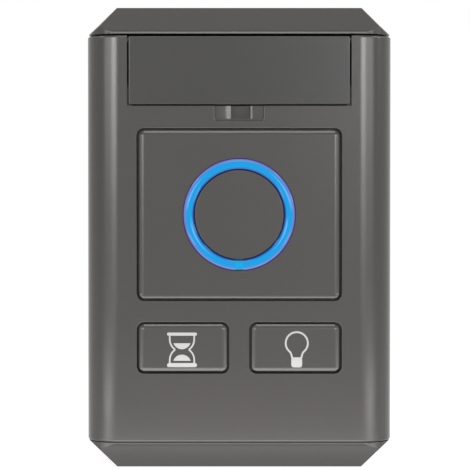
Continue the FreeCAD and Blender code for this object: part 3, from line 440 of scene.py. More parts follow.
def plain_mesh(made: bpy.types.Object) -> bpy.types.Mesh:
    """Turns what an object's modifiers make into a plain mesh."""
    graph = bpy.context.evaluated_depsgraph_get()
    return bpy.data.meshes.new_from_object(made.evaluated_get(graph), preserve_all_data_layers=True,
                                           depsgraph=graph)


def linked(name: str, data: bpy.types.ID) -> bpy.types.Object:
    """Makes an object and links it to the scene."""
    made = bpy.data.objects.new(name, data)
    bpy.context.scene.collection.objects.link(made)
    return made


def add_node(tree: Tree, kind: str, settings: Inputs | None = None,
             inputs: Inputs | None = None) -> bpy.types.Node:
    """Adds a node with its settings and links.

    Args:
        tree: The node tree.
        kind: The node's type.
        settings: The node's own properties.
        inputs: What each input takes, by name or number: another node's output, or a value.

    Returns:
        The new node.
    """
    node = tree.nodes.new(kind)
    for name, chosen in (settings or {}).items():
        setattr(node, name, chosen)
    for key, given in (inputs or {}).items():
        if isinstance(given, bpy.types.NodeSocket):
            tree.links.new(given, node.inputs[key])
        else:
            node.inputs[key].default_value = given
    return node


def linear(colour: str) -> tuple[float, float, float, float]:
    """Turns an sRGB colour such as #5a5a58 into the linear values that a shader takes."""
    parts = [int(colour[i:i + 2], 16) / 255 for i in (1, 3, 5)]
    red, green, blue = [c / 12.92 if c <= 0.04045 else ((c + 0.055) / 1.055) ** 2.4 for c in parts]
    return red, green, blue, 1.0


def per_metre(feature: float) -> float:
    """The scale of a pattern whose features measure so many millimetres, on Object coordinates."""
    return 1 / (feature * MM)


def empty_tree(owner: bpy.types.Material | bpy.types.World) -> Tree:
    """Gives a new material or world a node tree with nothing in it."""
    owner.use_nodes = True
    owner.node_tree.nodes.clear()
    return owner.node_tree


@dataclass(frozen=True)
class Finish:
    """The finish of one real material: its name, and a surface drawn on Object coordinates."""

    name: str

    def material(self) -> bpy.types.Material:
        """Builds the material around the surface that the finish describes."""
        material = bpy.data.materials.new(self.name)
        tree = empty_tree(material)
        place = add_node(tree, "ShaderNodeTexCoord").outputs["Object"]
        shader = add_node(tree, "ShaderNodeBsdfPrincipled", inputs=self.surface(tree, place))
        add_node(tree, "ShaderNodeOutputMaterial", inputs={"Surface": shader.outputs[0]})
        return material

    def surface(self, tree: Tree, place: Socket) -> Inputs:
        """Adds the pattern's nodes.

        Args:
            tree: The material's tree.
            place: Its Object coordinates.

        Returns:
            What the inputs of the surface shader take.
        """
        raise NotImplementedError


@dataclass(frozen=True)
class MouldedPlastic(Finish):
    """An injection-moulded plastic from a spark-eroded tool: an even satin with a fine grain in it."""

    colour: str
    shade: str
    roughness: float = 0.23
    roughness_spread: float = 0.04
    grain: float = 0.32
    grain_height: float = 0.012
    cloud: float = 14.0
    ior: float = 1.5

    def surface(self, tree: Tree, place: Socket) -> Inputs:
        """A faint cloud in the colour, and the tool's grain in height and gloss."""
        cloud = add_node(tree, "ShaderNodeTexNoise", inputs={
            "Vector": place, "Scale": per_metre(self.cloud), "Detail": 3.0, "Roughness": 0.55})
        colour = add_node(tree, "ShaderNodeMix", {"data_type": "RGBA"}, {
            "Factor": cloud.outputs["Fac"], 6: linear(self.shade), 7: linear(self.colour)})
        grain = add_node(tree, "ShaderNodeTexNoise", inputs={
            "Vector": place, "Scale": per_metre(self.grain), "Detail": 2.0, "Roughness": 0.6})
        gloss = add_node(tree, "ShaderNodeMapRange", inputs={
            "Value": grain.outputs["Fac"], "To Min": self.roughness - self.roughness_spread,
            "To Max": self.roughness + self.roughness_spread})
        bump = add_node(tree, "ShaderNodeBump", inputs={
            "Height": grain.outputs["Fac"], "Strength": 1.0, "Distance": self.grain_height * MM})
        return {"Base Color": colour.outputs[2], "Roughness": gloss.outputs["Result"],
                "Normal": bump.outputs["Normal"], "IOR": self.ior}


@dataclass(frozen=True)
class PlatedMetal(Finish):
    """A plated steel: bright, with the faint streaks and spots that a barrel plating leaves."""

    colour: str
    stain: str
    roughness: float = 0.3
    streak: float = 0.5
    spread: Pair = (0.08, 0.12)

    def surface(self, tree: Tree, place: Socket) -> Inputs:
        """A stained metal whose gloss changes in small spots."""
        spots = add_node(tree, "ShaderNodeTexNoise", inputs={
            "Vector": place, "Scale": per_metre(self.streak), "Detail": 4.0})
        colour = add_node(tree, "ShaderNodeMix", {"data_type": "RGBA"}, {
            "Factor": spots.outputs["Fac"], 6: linear(self.stain), 7: linear(self.colour)})
        gloss = add_node(tree, "ShaderNodeMapRange", inputs={
            "Value": spots.outputs["Fac"], "To Min": self.roughness - self.spread[0],
            "To Max": self.roughness + self.spread[1]})
        return {"Base Color": colour.outputs[2], "Roughness": gloss.outputs["Result"], "Metallic": 1.0}


@dataclass(frozen=True)
class LitGuide(Finish):
    """A clear moulded light guide before blue lamps: a bright core, a violet rim and white glints."""

    centre: Pair
    inner: float
    outer: float
    core: str = "#009fe4"
    rim: str = "#7874ca"
    edge: str = "#1f3da0"
    gate: str = "#00a8e6"
    gate_edge: str = "#0a4a60"
    gate_half: float = 1.3
    gate_fade: float = 0.75
    body: str = "#04121f"
    depth: str = "#0a2038"
    border: str = "#241f4c"
    swirl: float = 9.0
    strength: float = 0.95
    roughness: float = 0.12
    ior: float = 1.4
    specular: float = 0.24

    def surface(self, tree: Tree, place: Socket) -> Inputs:
        """The glow from the distance to the ring's axis, with the moulding gate at the bottom."""
        middle = add_node(tree, "ShaderNodeVectorMath", {"operation": "SUBTRACT"}, {
            0: place, 1: Vector((self.centre[0], 0, self.centre[1])) * MM})
        flat = add_node(tree, "ShaderNodeVectorMath", {"operation": "MULTIPLY"}, {
            0: middle.outputs[0], 1: (1.0, 0.0, 1.0)})
        radius = add_node(tree, "ShaderNodeVectorMath", {"operation": "LENGTH"}, {0: flat.outputs[0]})
        across = add_node(tree, "ShaderNodeMapRange", inputs={
            "Value": radius.outputs["Value"], "From Min": self.inner * MM, "From Max": self.outer * MM})
        # Colours from the inner edge to the outer one: of the glow, and of the gate in it.
        bands = (((0.02, self.depth), (0.1, self.edge), (0.25, self.core), (0.72, self.core),
                  (0.86, self.rim), (0.93, self.rim), (0.985, self.border)),
                 ((0.06, self.gate_edge), (0.26, self.gate), (0.74, self.gate), (0.94, self.gate_edge)))
        glow, gate = [add_node(tree, "ShaderNodeValToRGB", inputs={"Fac": across.outputs[0]}) for _ in bands]
        for ramp, stops in zip((glow.color_ramp, gate.color_ramp), bands):
            while len(ramp.elements) < len(stops):
                ramp.elements.new(0.5)
            for element, (at, colour) in zip(ramp.elements, stops):
                element.position = at
                element.color = linear(colour)
        parts = add_node(tree, "ShaderNodeSeparateXYZ", inputs={0: middle.outputs[0]})
        side = add_node(tree, "ShaderNodeMath", {"operation": "ABSOLUTE"}, {0: parts.outputs["X"]})
        near = add_node(tree, "ShaderNodeMapRange", inputs={
            "Value": side.outputs[0], "From Min": self.gate_half * MM,
            "From Max": self.gate_half * self.gate_fade * MM})
        below = add_node(tree, "ShaderNodeMath", {"operation": "LESS_THAN"}, {0: parts.outputs["Z"], 1: 0.0})
        mask = add_node(tree, "ShaderNodeMath", {"operation": "MULTIPLY"}, {
            0: near.outputs[0], 1: below.outputs[0]})
        colour = add_node(tree, "ShaderNodeMix", {"data_type": "RGBA"}, {
            "Factor": mask.outputs[0], 6: glow.outputs["Color"], 7: gate.outputs["Color"]})
        cloud = add_node(tree, "ShaderNodeTexNoise", inputs={
            "Vector": place, "Scale": per_metre(self.swirl), "Detail": 1.0})
        tint = add_node(tree, "ShaderNodeMix", {"data_type": "RGBA"}, {
            "Factor": cloud.outputs["Fac"], 6: linear(self.body), 7: linear(self.depth)})
        return {"Base Color": tint.outputs[2], "Emission Color": colour.outputs[2],
                "Emission Strength": self.strength, "Roughness": self.roughness, "IOR": self.ior,
                "Specular IOR Level": self.specular}


@dataclass(frozen=True)
class SolderMask(Finish):
    """A glass-epoxy board under green solder mask: a thin gloss over the faint relief of copper tracks."""

    name: str = "green_solder_mask_on_glass_epoxy"
    mask: str = "#14502f"
    track: str = "#1f6b3e"
    pitch: float = 2.4
    relief: float = 0.035
    roughness: float = 0.24

    def surface(self, tree: Tree, place: Socket) -> Inputs:
        """Cells of copper under the mask, as wide as real tracks."""
        cells = add_node(tree, "ShaderNodeTexVoronoi", {"feature": "DISTANCE_TO_EDGE"}, {
            "Vector": place, "Scale": per_metre(self.pitch), "Randomness": 0.4})
        copper = add_node(tree, "ShaderNodeMapRange", inputs={
            "Value": cells.outputs["Distance"], "From Min": 0.08, "From Max": 0.12})
        colour = add_node(tree, "ShaderNodeMix", {"data_type": "RGBA"}, {
            "Factor": copper.outputs[0], 6: linear(self.mask), 7: linear(self.track)})
        bump = add_node(tree, "ShaderNodeBump", inputs={
            "Height": copper.outputs[0], "Distance": self.relief * MM})
        return {"Base Color": colour.outputs[2], "Normal": bump.outputs["Normal"],
                "Roughness": self.roughness}


@dataclass(frozen=True)
class LampResin(Finish):
    """A cast epoxy lamp: milky and smooth, so that it looks wet and a little deep."""

    colour: str
    glow: str
    strength: float
    swirl: float = 1.2
    roughness: float = 0.12
    ior: float = 1.53
    clearness: float = 0.25

    def surface(self, tree: Tree, place: Socket) -> Inputs:
        """A faint swirl of diffuser in clear resin, with its own dim light."""
        swirl = add_node(tree, "ShaderNodeTexNoise", inputs={
            "Vector": place, "Scale": per_metre(self.swirl), "Detail": 2.0})
        colour = add_node(tree, "ShaderNodeMix", {"data_type": "RGBA"}, {
            "Factor": swirl.outputs["Fac"], 6: linear(self.colour), 7: linear(self.glow)})
        return {"Base Color": colour.outputs[2], "Emission Color": linear(self.glow),
                "Emission Strength": self.strength, "Roughness": self.roughness, "IOR": self.ior,
                "Transmission Weight": self.clearness}


@dataclass(frozen=True)
class CellSleeve(Finish):
    """A dry cell in its shrunk film: a plain two-colour film between bare nickel ends."""

    nub: int
    film: str = "#b9bcc0"
    band: str = "#37506b"
    metal: str = "#b5b4ae"
    half: float = 22.25
    bare: float = 1.6
    band_share: float = 0.3
    scuff: float = 0.7
    roughness: Pair = (0.18, 0.34)

    def surface(self, tree: Tree, place: Socket) -> Inputs:
        """Bare ends, and a band at the end with the raised contact."""
        along = add_node(tree, "ShaderNodeSeparateXYZ", inputs={0: place}).outputs["X"]
        reach = add_node(tree, "ShaderNodeMath", {"operation": "ABSOLUTE"}, {0: along})
        bare = add_node(tree, "ShaderNodeMath", {"operation": "GREATER_THAN"}, {
            0: reach.outputs[0], 1: (self.half - self.bare) * MM})
        shifted = add_node(tree, "ShaderNodeMath", {"operation": "MULTIPLY"}, {0: along, 1: float(self.nub)})
        banded = add_node(tree, "ShaderNodeMath", {"operation": "GREATER_THAN"}, {
            0: shifted.outputs[0], 1: self.half * (1 - 2 * self.band_share) * MM})
        film = add_node(tree, "ShaderNodeMix", {"data_type": "RGBA"}, {
            "Factor": banded.outputs[0], 6: linear(self.film), 7: linear(self.band)})
        colour = add_node(tree, "ShaderNodeMix", {"data_type": "RGBA"}, {
            "Factor": bare.outputs[0], 6: film.outputs[2], 7: linear(self.metal)})
        scuff = add_node(tree, "ShaderNodeTexNoise", inputs={
            "Vector": place, "Scale": per_metre(self.scuff), "Detail": 3.0})
        gloss = add_node(tree, "ShaderNodeMapRange", inputs={
            "Value": scuff.outputs["Fac"], "To Min": self.roughness[0], "To Max": self.roughness[1]})
        return {"Base Color": colour.outputs[2], "Roughness": gloss.outputs[0], "Metallic": bare.outputs[0]}


# Finishes of this console. Housing: ABS from a spark-eroded tool, a warm dark grey with an even satin.
ABS = MouldedPlastic("satin_moulded_abs_dark_grey", "#343230", "#312f2d")
# Flap: the housing's ABS painted a shade darker, as painted shade for the dimmer light on the upper part of
# the face.
FLAP_ABS_PAINTED_SHADE = MouldedPlastic("abs_dark_grey_with_painted_shade", "#2b2a29", "#282726")
# Door: the same ABS from a tool left coarser, so it looks a little drier.
DOOR_ABS = MouldedPlastic("coarse_moulded_abs_dark_grey", "#31302e", "#2e2d2b", 0.34, 0.06, 0.5, 0.02)
# Switch cases: glass-filled nylon, black and slightly rough.
NYLON = MouldedPlastic("black_moulded_glass_filled_nylon", "#1a1a1b", "#222223",
                       0.42, 0.08, 0.16, 0.008, 3.0, 1.53)
# Plungers and small caps: acetal, off-white, waxy and smooth.
ACETAL = MouldedPlastic("off_white_moulded_acetal", "#cfcbc0", "#c3beb2", 0.3, 0.05, 0.2, 0.004, 4.0, 1.48)
# Chip: moulded epoxy with a matt grain.
EPOXY = MouldedPlastic("matt_moulded_chip_epoxy", "#151617", "#1d1e1f", 0.5, 0.06, 0.12, 0.006, 2.0, 1.55)
# Icons: pad-printed ink, a flat light grey that stands a hair above the plastic.
INK = MouldedPlastic("pad_printed_light_grey_ink", "#9c9b9c", "#979697", 0.45, 0.04, 0.25, 0.002, 6.0)
# Screws: zinc plate, bright with small spots. Shield: tinned steel, softer. Contacts: nickel, the brightest.
ZINC = PlatedMetal("zinc_plated_steel", "#b9bbbd", "#8f9294", 0.3, 0.5)
TIN = PlatedMetal("tinned_steel_sheet", "#b3b3b0", "#a0a09c", 0.36, 0.9)
NICKEL = PlatedMetal("nickel_plated_spring_steel", "#c4bfb2", "#aaa598", 0.22, 0.6)

HOUSING = ABS.material()


def dress(made: bpy.types.Object, body: str, slot: str, *nodes: str) -> bpy.types.Object:
    """Puts a finished piece on its body and hides the nodes that it stands for."""
    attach(made, body)
    if nodes:
        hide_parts(*nodes)
    log.info("%s: %d faces on %s", made.name, len(made.data.polygons), body)
    return made


def both_sides(left: float, right: float, *rest: float) -> list[Solid]:
    """Makes a block and its mirror image, from edges given as for Solid.block."""
    return [Solid.block(*ends, *rest) for ends in ((left, right), (-right, -left))]


def bore(centre: Pair, radius: float, back: float, front: float, steps: int = BORE_STEPS) -> Solid:
    """Makes a rod that points forward, to add as a post or cut as a hole."""
    return Solid.turned(centre, [(back, 0.0), (back, radius), (front, radius), (front, 0.0)], steps)


def bores(centre: Pair, radius: float, back: float, front: float) -> list[Solid]:
    """Makes a rod that points forward, and its mirror image."""
    return [bore((side * centre[0], centre[1]), radius, back, front) for side in (1, -1)]


def crown(depth: float, reach: float, drop: float, steps: int = ARC_STEPS) -> list[Pair]:
    """Lists the depths and insets of a face that falls away gently towards its rim.

    Args:
        depth: The depth of the flat face.
        reach: How far in from the rim the fall begins.
        drop: How far the rim lies behind the face.
        steps: The number of chords.

    Returns:
        Pairs of depth and inset, from the rim to the flat face.
    """
    return [(depth - drop * (1 - i / steps) ** 2, reach * i / steps) for i in range(steps + 1)]


@dataclass
class RearHousing:
    """The wall plate with a bevelled cap moulded on at each end, the battery box, keyholes and fixings."""

    seams: tuple[float, float] = (60.12, 60.2)
    plate: float = 2.2
    side_radius: float = 9.4
    slope_depth: float = 9.6
    lip: float = -0.6
    lip_radius: float = 2.4
    plate_margin: float = 1.4
    slope_angle: float = 55.0
    corner_cut: float = 8.3
    corner_lip: float = 0.3
    corner_leans: tuple[float, float] = (0.088, 0.095)
    wall: float = 2.0
    edge: float = 0.4
    seam_edge: float = 0.25
    plate_half: float = 42.85
    tongue: float = 1.8
    tongue_front: float = 17.0
    tongue_lap: float = 0.3
    tool_reach: float = 5.0
    seam_play: float = 0.05
    arc_steps: int = 24
    battery_half: float = 25.65
    battery_low: float = 4.4
    battery_high: float = 26.6
    battery_wall: float = 1.5
    battery_front: float = 12.1
    battery_front_wall: float = 1.3
    door_ledge: float = 1.6
    door_thickness: float = 1.2
    door_gap: float = 0.3
    grip_half: float = 6.0
    grip_height: float = 3.0
    tab_place: float = 14.0
    tab_half: float = 2.8
    tab_low: float = 1.3
    tab_front: float = 3.4
    tail_half: float = 1.2
    tail_left: float = -25.85
    tail_right: float = -25.05
    cell_offset: float = 5.45
    keyholes: tuple[float, float] = (-42.0, 38.0)
    entry_radius: float = 4.3
    slot_half: float = 2.2
    slot_length: float = 7.0
    room_half: float = 4.8
    room_front: float = 6.0
    hood_wall: float = 1.2
    screw: Pair = (37.0, -52.0)
    pillar_half: float = 4.0
    pillar_front: float = 5.0
    hole_radius: float = 1.55
    seat_radius: float = 2.9
    seat_front: float = 2.2
    arm: Pair = (37.7, 39.1)
    nose_reach: float = 1.6
    nose: Pair = (6.3, 8.3)
    arm_span: Pair = (48.0, 56.0)
    post: Pair = (27.0, -40.5)
    post_radius: float = 2.5
    pilot_radius: float = 0.85
    pilot_length: float = 8.0
    rest_half: float = 20.0
    rest_span: Pair = (53.0, 55.0)

    def build(self) -> None:
        """Builds the plate, both caps and all that the plate carries as one piece."""
        box = Box.of("rear_housing")
        board_back = Box.of("circuit_board").back
        reach = max(self.seams) + self.plate_margin
        plate = Solid.block(-self.plate_half, self.plate_half, -reach, reach, 0, self.plate)
        for sign, seam, lean in zip((1, -1), self.seams, self.corner_leans):
            plate.add(self.cap(sign, seam, lean, box))
            low, high = sorted((sign * (seam - self.tongue), sign * (seam + self.tongue_lap)))
            plate.add(*both_sides(self.plate_half - self.tongue, self.plate_half, low, high, 0,
                                  self.tongue_front))
        plate.add(*self.fixings(board_back), *self.hoods(), self.battery_box())
        plate.cut(*self.battery_room(), *self.keyhole_cuts(), *self.screw_holes(board_back))
        dress(plate.piece("rear_housing_shell", HOUSING), "housing", "housing_plastic", "rear_housing")

    def cap(self, sign: int, seam: float, lean: float, box: Box) -> Solid:
        """Makes the cap at one end.

        Args:
            sign: 1 for the upper cap and -1 for the lower one.
            seam: The height of its edge beside the cover, from the middle.
            lean: How far its cut corners lean inwards for each millimetre in front of the rim.
            box: The whole housing's room.

        Returns:
            The hollow cap.
        """
        half, end, front = box.right, box.high, box.front
        outline = arch(half, 0.0, front, self.side_radius, self.arc_steps)
        cap = Solid.extruded(outline, Axis.UP, sign * seam, sign * end)
        rim, away, lip = front - self.slope_depth, self.tool_reach, seam + self.lip
        bend = arc((front - self.lip_radius, lip), self.lip_radius, 0, self.slope_angle)
        slope = [(front + away, lip), *bend, (rim, end), (rim, end + away), (front + away, end + away)]
        tools = [Solid.extruded([(depth, sign * z) for depth, z in slope], Axis.ACROSS, -half - away,
                                half + away)]
        levels = ((-PAST, 0.0), (rim, 0.0), (front + PAST, (front + PAST - rim) * lean))
        for side in (1, -1):
            tools.append(Solid([[(side * (x - inset), depth, sign * (z - inset))
                                 for x, z in self.corner(seam, half, end)] for depth, inset in levels]))
        cap.cut(*tools)
        cap.round_edges(lambda x, d, z: d > self.plate and abs(z) < seam + self.seam_play, self.seam_edge)
        cap.round_edges(lambda x, d, z: d > self.plate and abs(z) > seam + 2 * self.seam_edge, self.edge)
        inner, deep, top = half - self.corner_cut - self.wall, front - self.wall, end - self.wall
        hollow = [(self.plate, seam - PAST), (deep, seam - PAST), (deep, seam), (rim - self.wall, top),
                  (self.plate, top)]
        tool = [(depth, sign * z) for depth, z in hollow]
        return cap.cut(Solid.extruded(tool, Axis.ACROSS, -inner, inner))

    def corner(self, seam: float, half: float, end: float) -> list[Pair]:
        """Draws the upper right corner that is cut off a cap, as seen from the front."""
        away, low = self.tool_reach, seam + self.corner_lip
        flat = half - self.corner_cut
        return [(flat, end), (half, low), (half + away, low), (half + away, end + away), (flat, end + away)]

    def battery_box(self) -> Solid:
        """The box that holds the cells, in one block."""
        w = self.battery_wall
        return Solid.block(-self.battery_half - w, self.battery_half + w, self.battery_low - w,
                           self.battery_high + w, 0, self.battery_front + self.battery_front_wall)

    def battery_room(self) -> list[Solid]:
        """What is cut for the cells, the door, its tongue and hooks, and the contacts' tails."""
        half, deep, ledge = self.battery_half, self.battery_front, self.door_ledge
        low, high = self.battery_low - ledge, self.battery_high + ledge
        middle = (self.battery_low + self.battery_high) / 2
        tails = [(middle + offset - self.tail_half, middle + offset + self.tail_half)
                 for offset in (-self.cell_offset, self.cell_offset)]
        return [Solid.block(-half, half, self.battery_low, self.battery_high, -PAST, deep),
                Solid.block(-half - ledge, half + ledge, low, high, -PAST, self.door_thickness),
                Solid.block(-self.grip_half, self.grip_half, high - self.door_gap, high + self.grip_height,
                            -PAST, self.door_thickness),
                *both_sides(self.tab_place - self.tab_half, self.tab_place + self.tab_half, self.tab_low,
                            self.battery_low + self.door_gap, self.door_thickness - LAP, self.tab_front),
                *(Solid.block(self.tail_left, self.tail_right, *tail, deep - LAP,
                              deep + self.battery_front_wall + PAST) for tail in tails)]

    def hoods(self) -> list[Solid]:
        """The blocks over the keyholes."""
        reach = self.room_half + self.hood_wall
        return [Solid.block(-reach, reach, z - reach, z + self.slot_length + reach, 0,
                            self.room_front + self.hood_wall) for z in self.keyholes]

    def keyhole_cuts(self) -> list[Solid]:
        """The keyholes: a round entry, a slot upwards, and room for the wall screw's head."""
        room, slot, through = self.room_half, self.slot_half, self.plate + LAP
        cuts = []
        for z in self.keyholes:
            top = z + self.slot_length
            cuts += [Solid.block(-room, room, z - room, top + room, self.plate, self.room_front),
                     bore((0.0, z), self.entry_radius, -PAST, through),
                     Solid.block(-slot, slot, z, top, -PAST, through),
                     bore((0.0, top), slot, -PAST, through)]
        return cuts

    def fixings(self, board_back: float) -> list[Solid]:
        """The screw pillars, snap arms, board posts and board rest."""
        x, z = self.screw
        reach, root = self.pillar_half, self.plate - INTO
        return [*both_sides(x - reach, x + reach, z - reach, z + reach, 0, self.pillar_front),
                *both_sides(*self.arm, *self.arm_span, root, self.nose[1]),
                *both_sides(self.arm[1] - INTO, self.arm[1] + self.nose_reach, *self.arm_span, *self.nose),
                *bores(self.post, self.post_radius, root, board_back),
                Solid.block(-self.rest_half, self.rest_half, *self.rest_span, root, board_back)]

    def screw_holes(self, board_back: float) -> list[Solid]:
        """The cover screws' holes with their head seats, and the board screws' pilots."""
        return [*bores(self.screw, self.hole_radius, -PAST, self.pillar_front + PAST),
                *bores(self.screw, self.seat_radius, -PAST, self.seat_front),
                *bores(self.post, self.pilot_radius, board_back - self.pilot_length, board_back + PAST)]


@dataclass
class FrontCover:
    """The rounded sleeve between the caps, with the service bay and the button wells inside."""

    trims: tuple[float, float] = (0.4, 0.04)
    side_radius: float = 9.7
    wall: float = 2.0
    face_lap: float = 0.5
    end_edge: float = 0.7
    mouth_edge: float = 0.28
    recess_edge: float = 0.5
    opening_radius: float = 2.1
    button_gap: float = 0.5
    flange_reach: float = 1.5
    well_wall: float = 1.2
    well_back: float = 22.3
    flap_gap: float = 0.45
    flap_reach: float = 1.55
    bay_wall: float = 1.5
    bay_floor: float = 1.5
    swing_room: float = 3.8
    stop_width: float = 1.4
    stop_height: float = 6.0
    stop_gap: float = 0.1
    flap_thickness: float = 1.8
    pin_radius: float = 0.78
    pin_back: float = 1.5
    pin_drop: float = 1.0
    pin_half: float = 34.2
    pin_sides: int = 24
    floor_play: float = 0.4
    recess_half: float = 7.05
    recess_height: float = 4.8
    recess_depth: float = 0.7
    recess_radius: float = 0.8
    scoop_half: float = 4.35
    scoop_slants: tuple[Pair, Pair] = ((1.9, 0.44), (1.0, 0.2))
    scoop_height: float = 4.2
    scoop_rise: float = 1.2
    scoop_depth: float = 2.8
    scoop_backing: float = 1.6
    screw: Pair = (37.0, -52.0)
    boss_radius: float = 3.0
    boss_back: float = 5.0
    pilot_radius: float = 1.3
    pilot_length: float = 10.0
    ledge_inner: float = 39.4
    ledge: Pair = (4.0, 6.0)
    ledge_span: Pair = (48.0, 56.0)
    arc_steps: int = 32

    def shell(self, box: Box) -> Solid:
        """Makes the sleeve: rounded at both ends and open behind."""
        upper, lower = self.trims
        rounding = quarter(0.0, self.end_edge, ARC_STEPS)
        levels = [(box.low + lower - rise, inset) for rise, inset in reversed(rounding)]
        levels += [(box.high - upper + rise, inset) for rise, inset in rounding]
        rings = [[(x, depth, z) for x, depth in arch(box.right - inset, box.back, box.front - inset,
                                                     self.side_radius - inset, self.arc_steps)]
                 for z, inset in levels]
        inside = arch(box.right - self.wall, -PAST, box.front - self.wall, self.side_radius - self.wall,
                      self.arc_steps // 2)
        return Solid(rings).cut(Solid.extruded(inside, Axis.UP, -box.high - PAST, box.high + PAST))

    def mouth(self, span: Span, radius: float, back: float, front: float, edge: float) -> Solid:
        """Makes the tool for an opening whose edge is rounded at the front face."""
        beyond = 0.02
        profile = [(back, 0.0)] + quarter(front + beyond, edge, outwards=True) + [(front + PAST, -edge)]
        return Solid.stepped(span, radius, profile)

    def bay(self, box: Box, flap: Box) -> Span:
        """The service bay's room as seen from the front."""
        half = flap.right - self.flap_reach + self.flap_gap
        return Span(-half, half, flap.low - self.flap_gap, box.high - self.bay_wall)

    def walls(self, box: Box, bay: Span, board_front: float, openings: Sequence[Span]) -> list[Solid]:
        """The blocks behind the face: the bay, the wells, the scoop's backing, snap ledges and bosses."""
        inside = box.front - self.wall + self.face_lap
        backing = self.scoop_half + self.scoop_backing
        return [Solid.block(bay.left - self.bay_wall, bay.right + self.bay_wall, bay.low - self.bay_wall,
                            box.high - self.trims[0] - self.end_edge, board_front, inside),
                *(Solid.block(*opening.grown(self.well_wall).edges, self.well_back, inside)
                  for opening in openings),
                Solid.block(-backing, backing, openings[0].high + self.well_wall - LAP, bay.low,
                            box.front - self.scoop_depth - self.scoop_backing, inside),
                *both_sides(self.ledge_inner, box.right - self.wall + INTO, *self.ledge_span, *self.ledge),
                *bores(self.screw, self.boss_radius, self.boss_back, inside)]

    def build(self) -> None:
        """Builds the cover as one piece."""
        box, board, flap = (Box.of(node) for node in ("front_cover", "circuit_board", "service_flap"))
        buttons = [Box.of(node).grown(self.button_gap - self.flange_reach)
                   for node in ("main_button", "delay_button", "light_button")]
        bay, floor = self.bay(box, flap), board.front + self.bay_floor
        cover = self.shell(box).add(*self.walls(box, bay, board.front, buttons))
        cover.cut(*(self.mouth(opening, self.opening_radius, self.well_back - PAST, box.front,
                               self.mouth_edge) for opening in buttons))
        cover.cut(Solid.block(bay.left, bay.right, bay.low, box.high + 2 * PAST, box.front - self.swing_room,
                              box.front + PAST),
                  Solid.block(*bay.edges, floor, box.front))
        cover.add(*both_sides(bay.right - self.stop_width, bay.right + LAP, bay.low - LAP,
                              bay.low + self.stop_height, floor - LAP,
                              box.front - self.flap_thickness - self.stop_gap))
        cover.cut(*self.windows(board.front, floor), self.pin_hole(box, flap),
                  *self.finger_recess(box, flap, bay))
        dress(cover.piece("front_cover_shell", HOUSING), "housing", "housing_plastic", "front_cover")

    def windows(self, back: float, front: float) -> list[Solid]:
        """The cuts in the bay's floor for the service controls, and the cover screws' pilots."""
        lamp = Box.of("status_led")
        return [*(Solid.block(*Box.of(node).grown(self.floor_play).edges, back - PAST, front + PAST)
                  for node in ("learn_switch", "lock_switch")),
                bore(lamp.centre, lamp.right + self.floor_play, back - PAST, front + PAST),
                *bores(self.screw, self.pilot_radius, self.boss_back - PAST,
                       self.boss_back + self.pilot_length)]

    def pin_hole(self, box: Box, flap: Box) -> Solid:
        """The hole through both of the bay's sides for the flap's pins."""
        axis = (box.front - self.pin_back, flap.high - self.pin_drop)
        return Solid.extruded(circle(axis, self.pin_radius, self.pin_sides), Axis.ACROSS,
                              -self.pin_half, self.pin_half)

    def finger_recess(self, box: Box, flap: Box, bay: Span) -> list[Solid]:
        """The shallow recess under the flap and the deeper scoop in it."""
        recess = Span(-self.recess_half, self.recess_half, flap.low - self.recess_height,
                      bay.low + 2 * self.recess_radius)
        top, floor, half = box.front - self.recess_depth, box.front - self.scoop_depth, self.scoop_half
        shallow = self.mouth(recess, self.recess_radius, top, box.front, self.recess_edge)
        (left, left_fall), (right, right_fall) = self.scoop_slants
        scoop = [(-half, box.front + PAST), (-half, top), (left - half, top - left_fall),
                 (LAP + left - half, floor), (half - right - LAP, floor), (half - right, top - right_fall),
                 (half, top), (half, box.front + PAST)]
        return [shallow, Solid.extruded(scoop, Axis.UP, flap.low - self.scoop_height,
                                        flap.low + self.scoop_rise)]


@dataclass
class ServiceFlap:
    """The flat panel over the service bay, bare in front, with a pin at each end of its top edge."""

    thickness: float = 1.8
    edge: float = 0.3
    corner: float = 0.35
    reach: float = 1.55
    pin_radius: float = 0.7
    pin_back: float = 1.5
    pin_drop: float = 1.0
    pin_sides: int = 16
    knuckle_length: float = 2.4
    knuckle_half: float = 0.9
    rim_inset: float = 2.8
    rim_wall: float = 1.0
    rim_height: float = 1.0

    def build(self) -> None:
        """Builds the flap as one piece."""
        box = Box.of("service_flap")
        half, back = box.right - self.reach, box.front - self.thickness
        pin_z, pin_depth = box.high - self.pin_drop, box.front - self.pin_back
        flap = Solid.stepped(Span(-half, half, box.low, box.high), self.corner,
                             [(back, 0.0)] + quarter(box.front, self.edge))
        rim = Span(-half, half, box.low, pin_z).grown(-self.rim_inset)
        tools = [Solid.block(*rim.edges, back - self.rim_height, back + INTO).cut(
            Solid.block(*rim.grown(-self.rim_wall).edges, back - self.rim_height - PAST, back))]
        pin = circle((pin_depth, pin_z), self.pin_radius, self.pin_sides)
        for side in (1, -1):
            ends = sorted((side * (half - self.knuckle_length), side * half))
            tools += [Solid.block(*ends, pin_z - self.knuckle_half, pin_z + self.knuckle_half,
                                  pin_depth - self.knuckle_half, back + INTO),
                      Solid.extruded(pin, Axis.ACROSS, side * (half - self.knuckle_length / 2),
                                     side * box.right)]
        flap.add(*tools)
        # The flap takes the darker ABS: painted shade for the dimmer light at the top of the face.
        dress(flap.piece("service_flap_panel", FLAP_ABS_PAINTED_SHADE.material()), "flap", "housing_plastic",
              "service_flap")


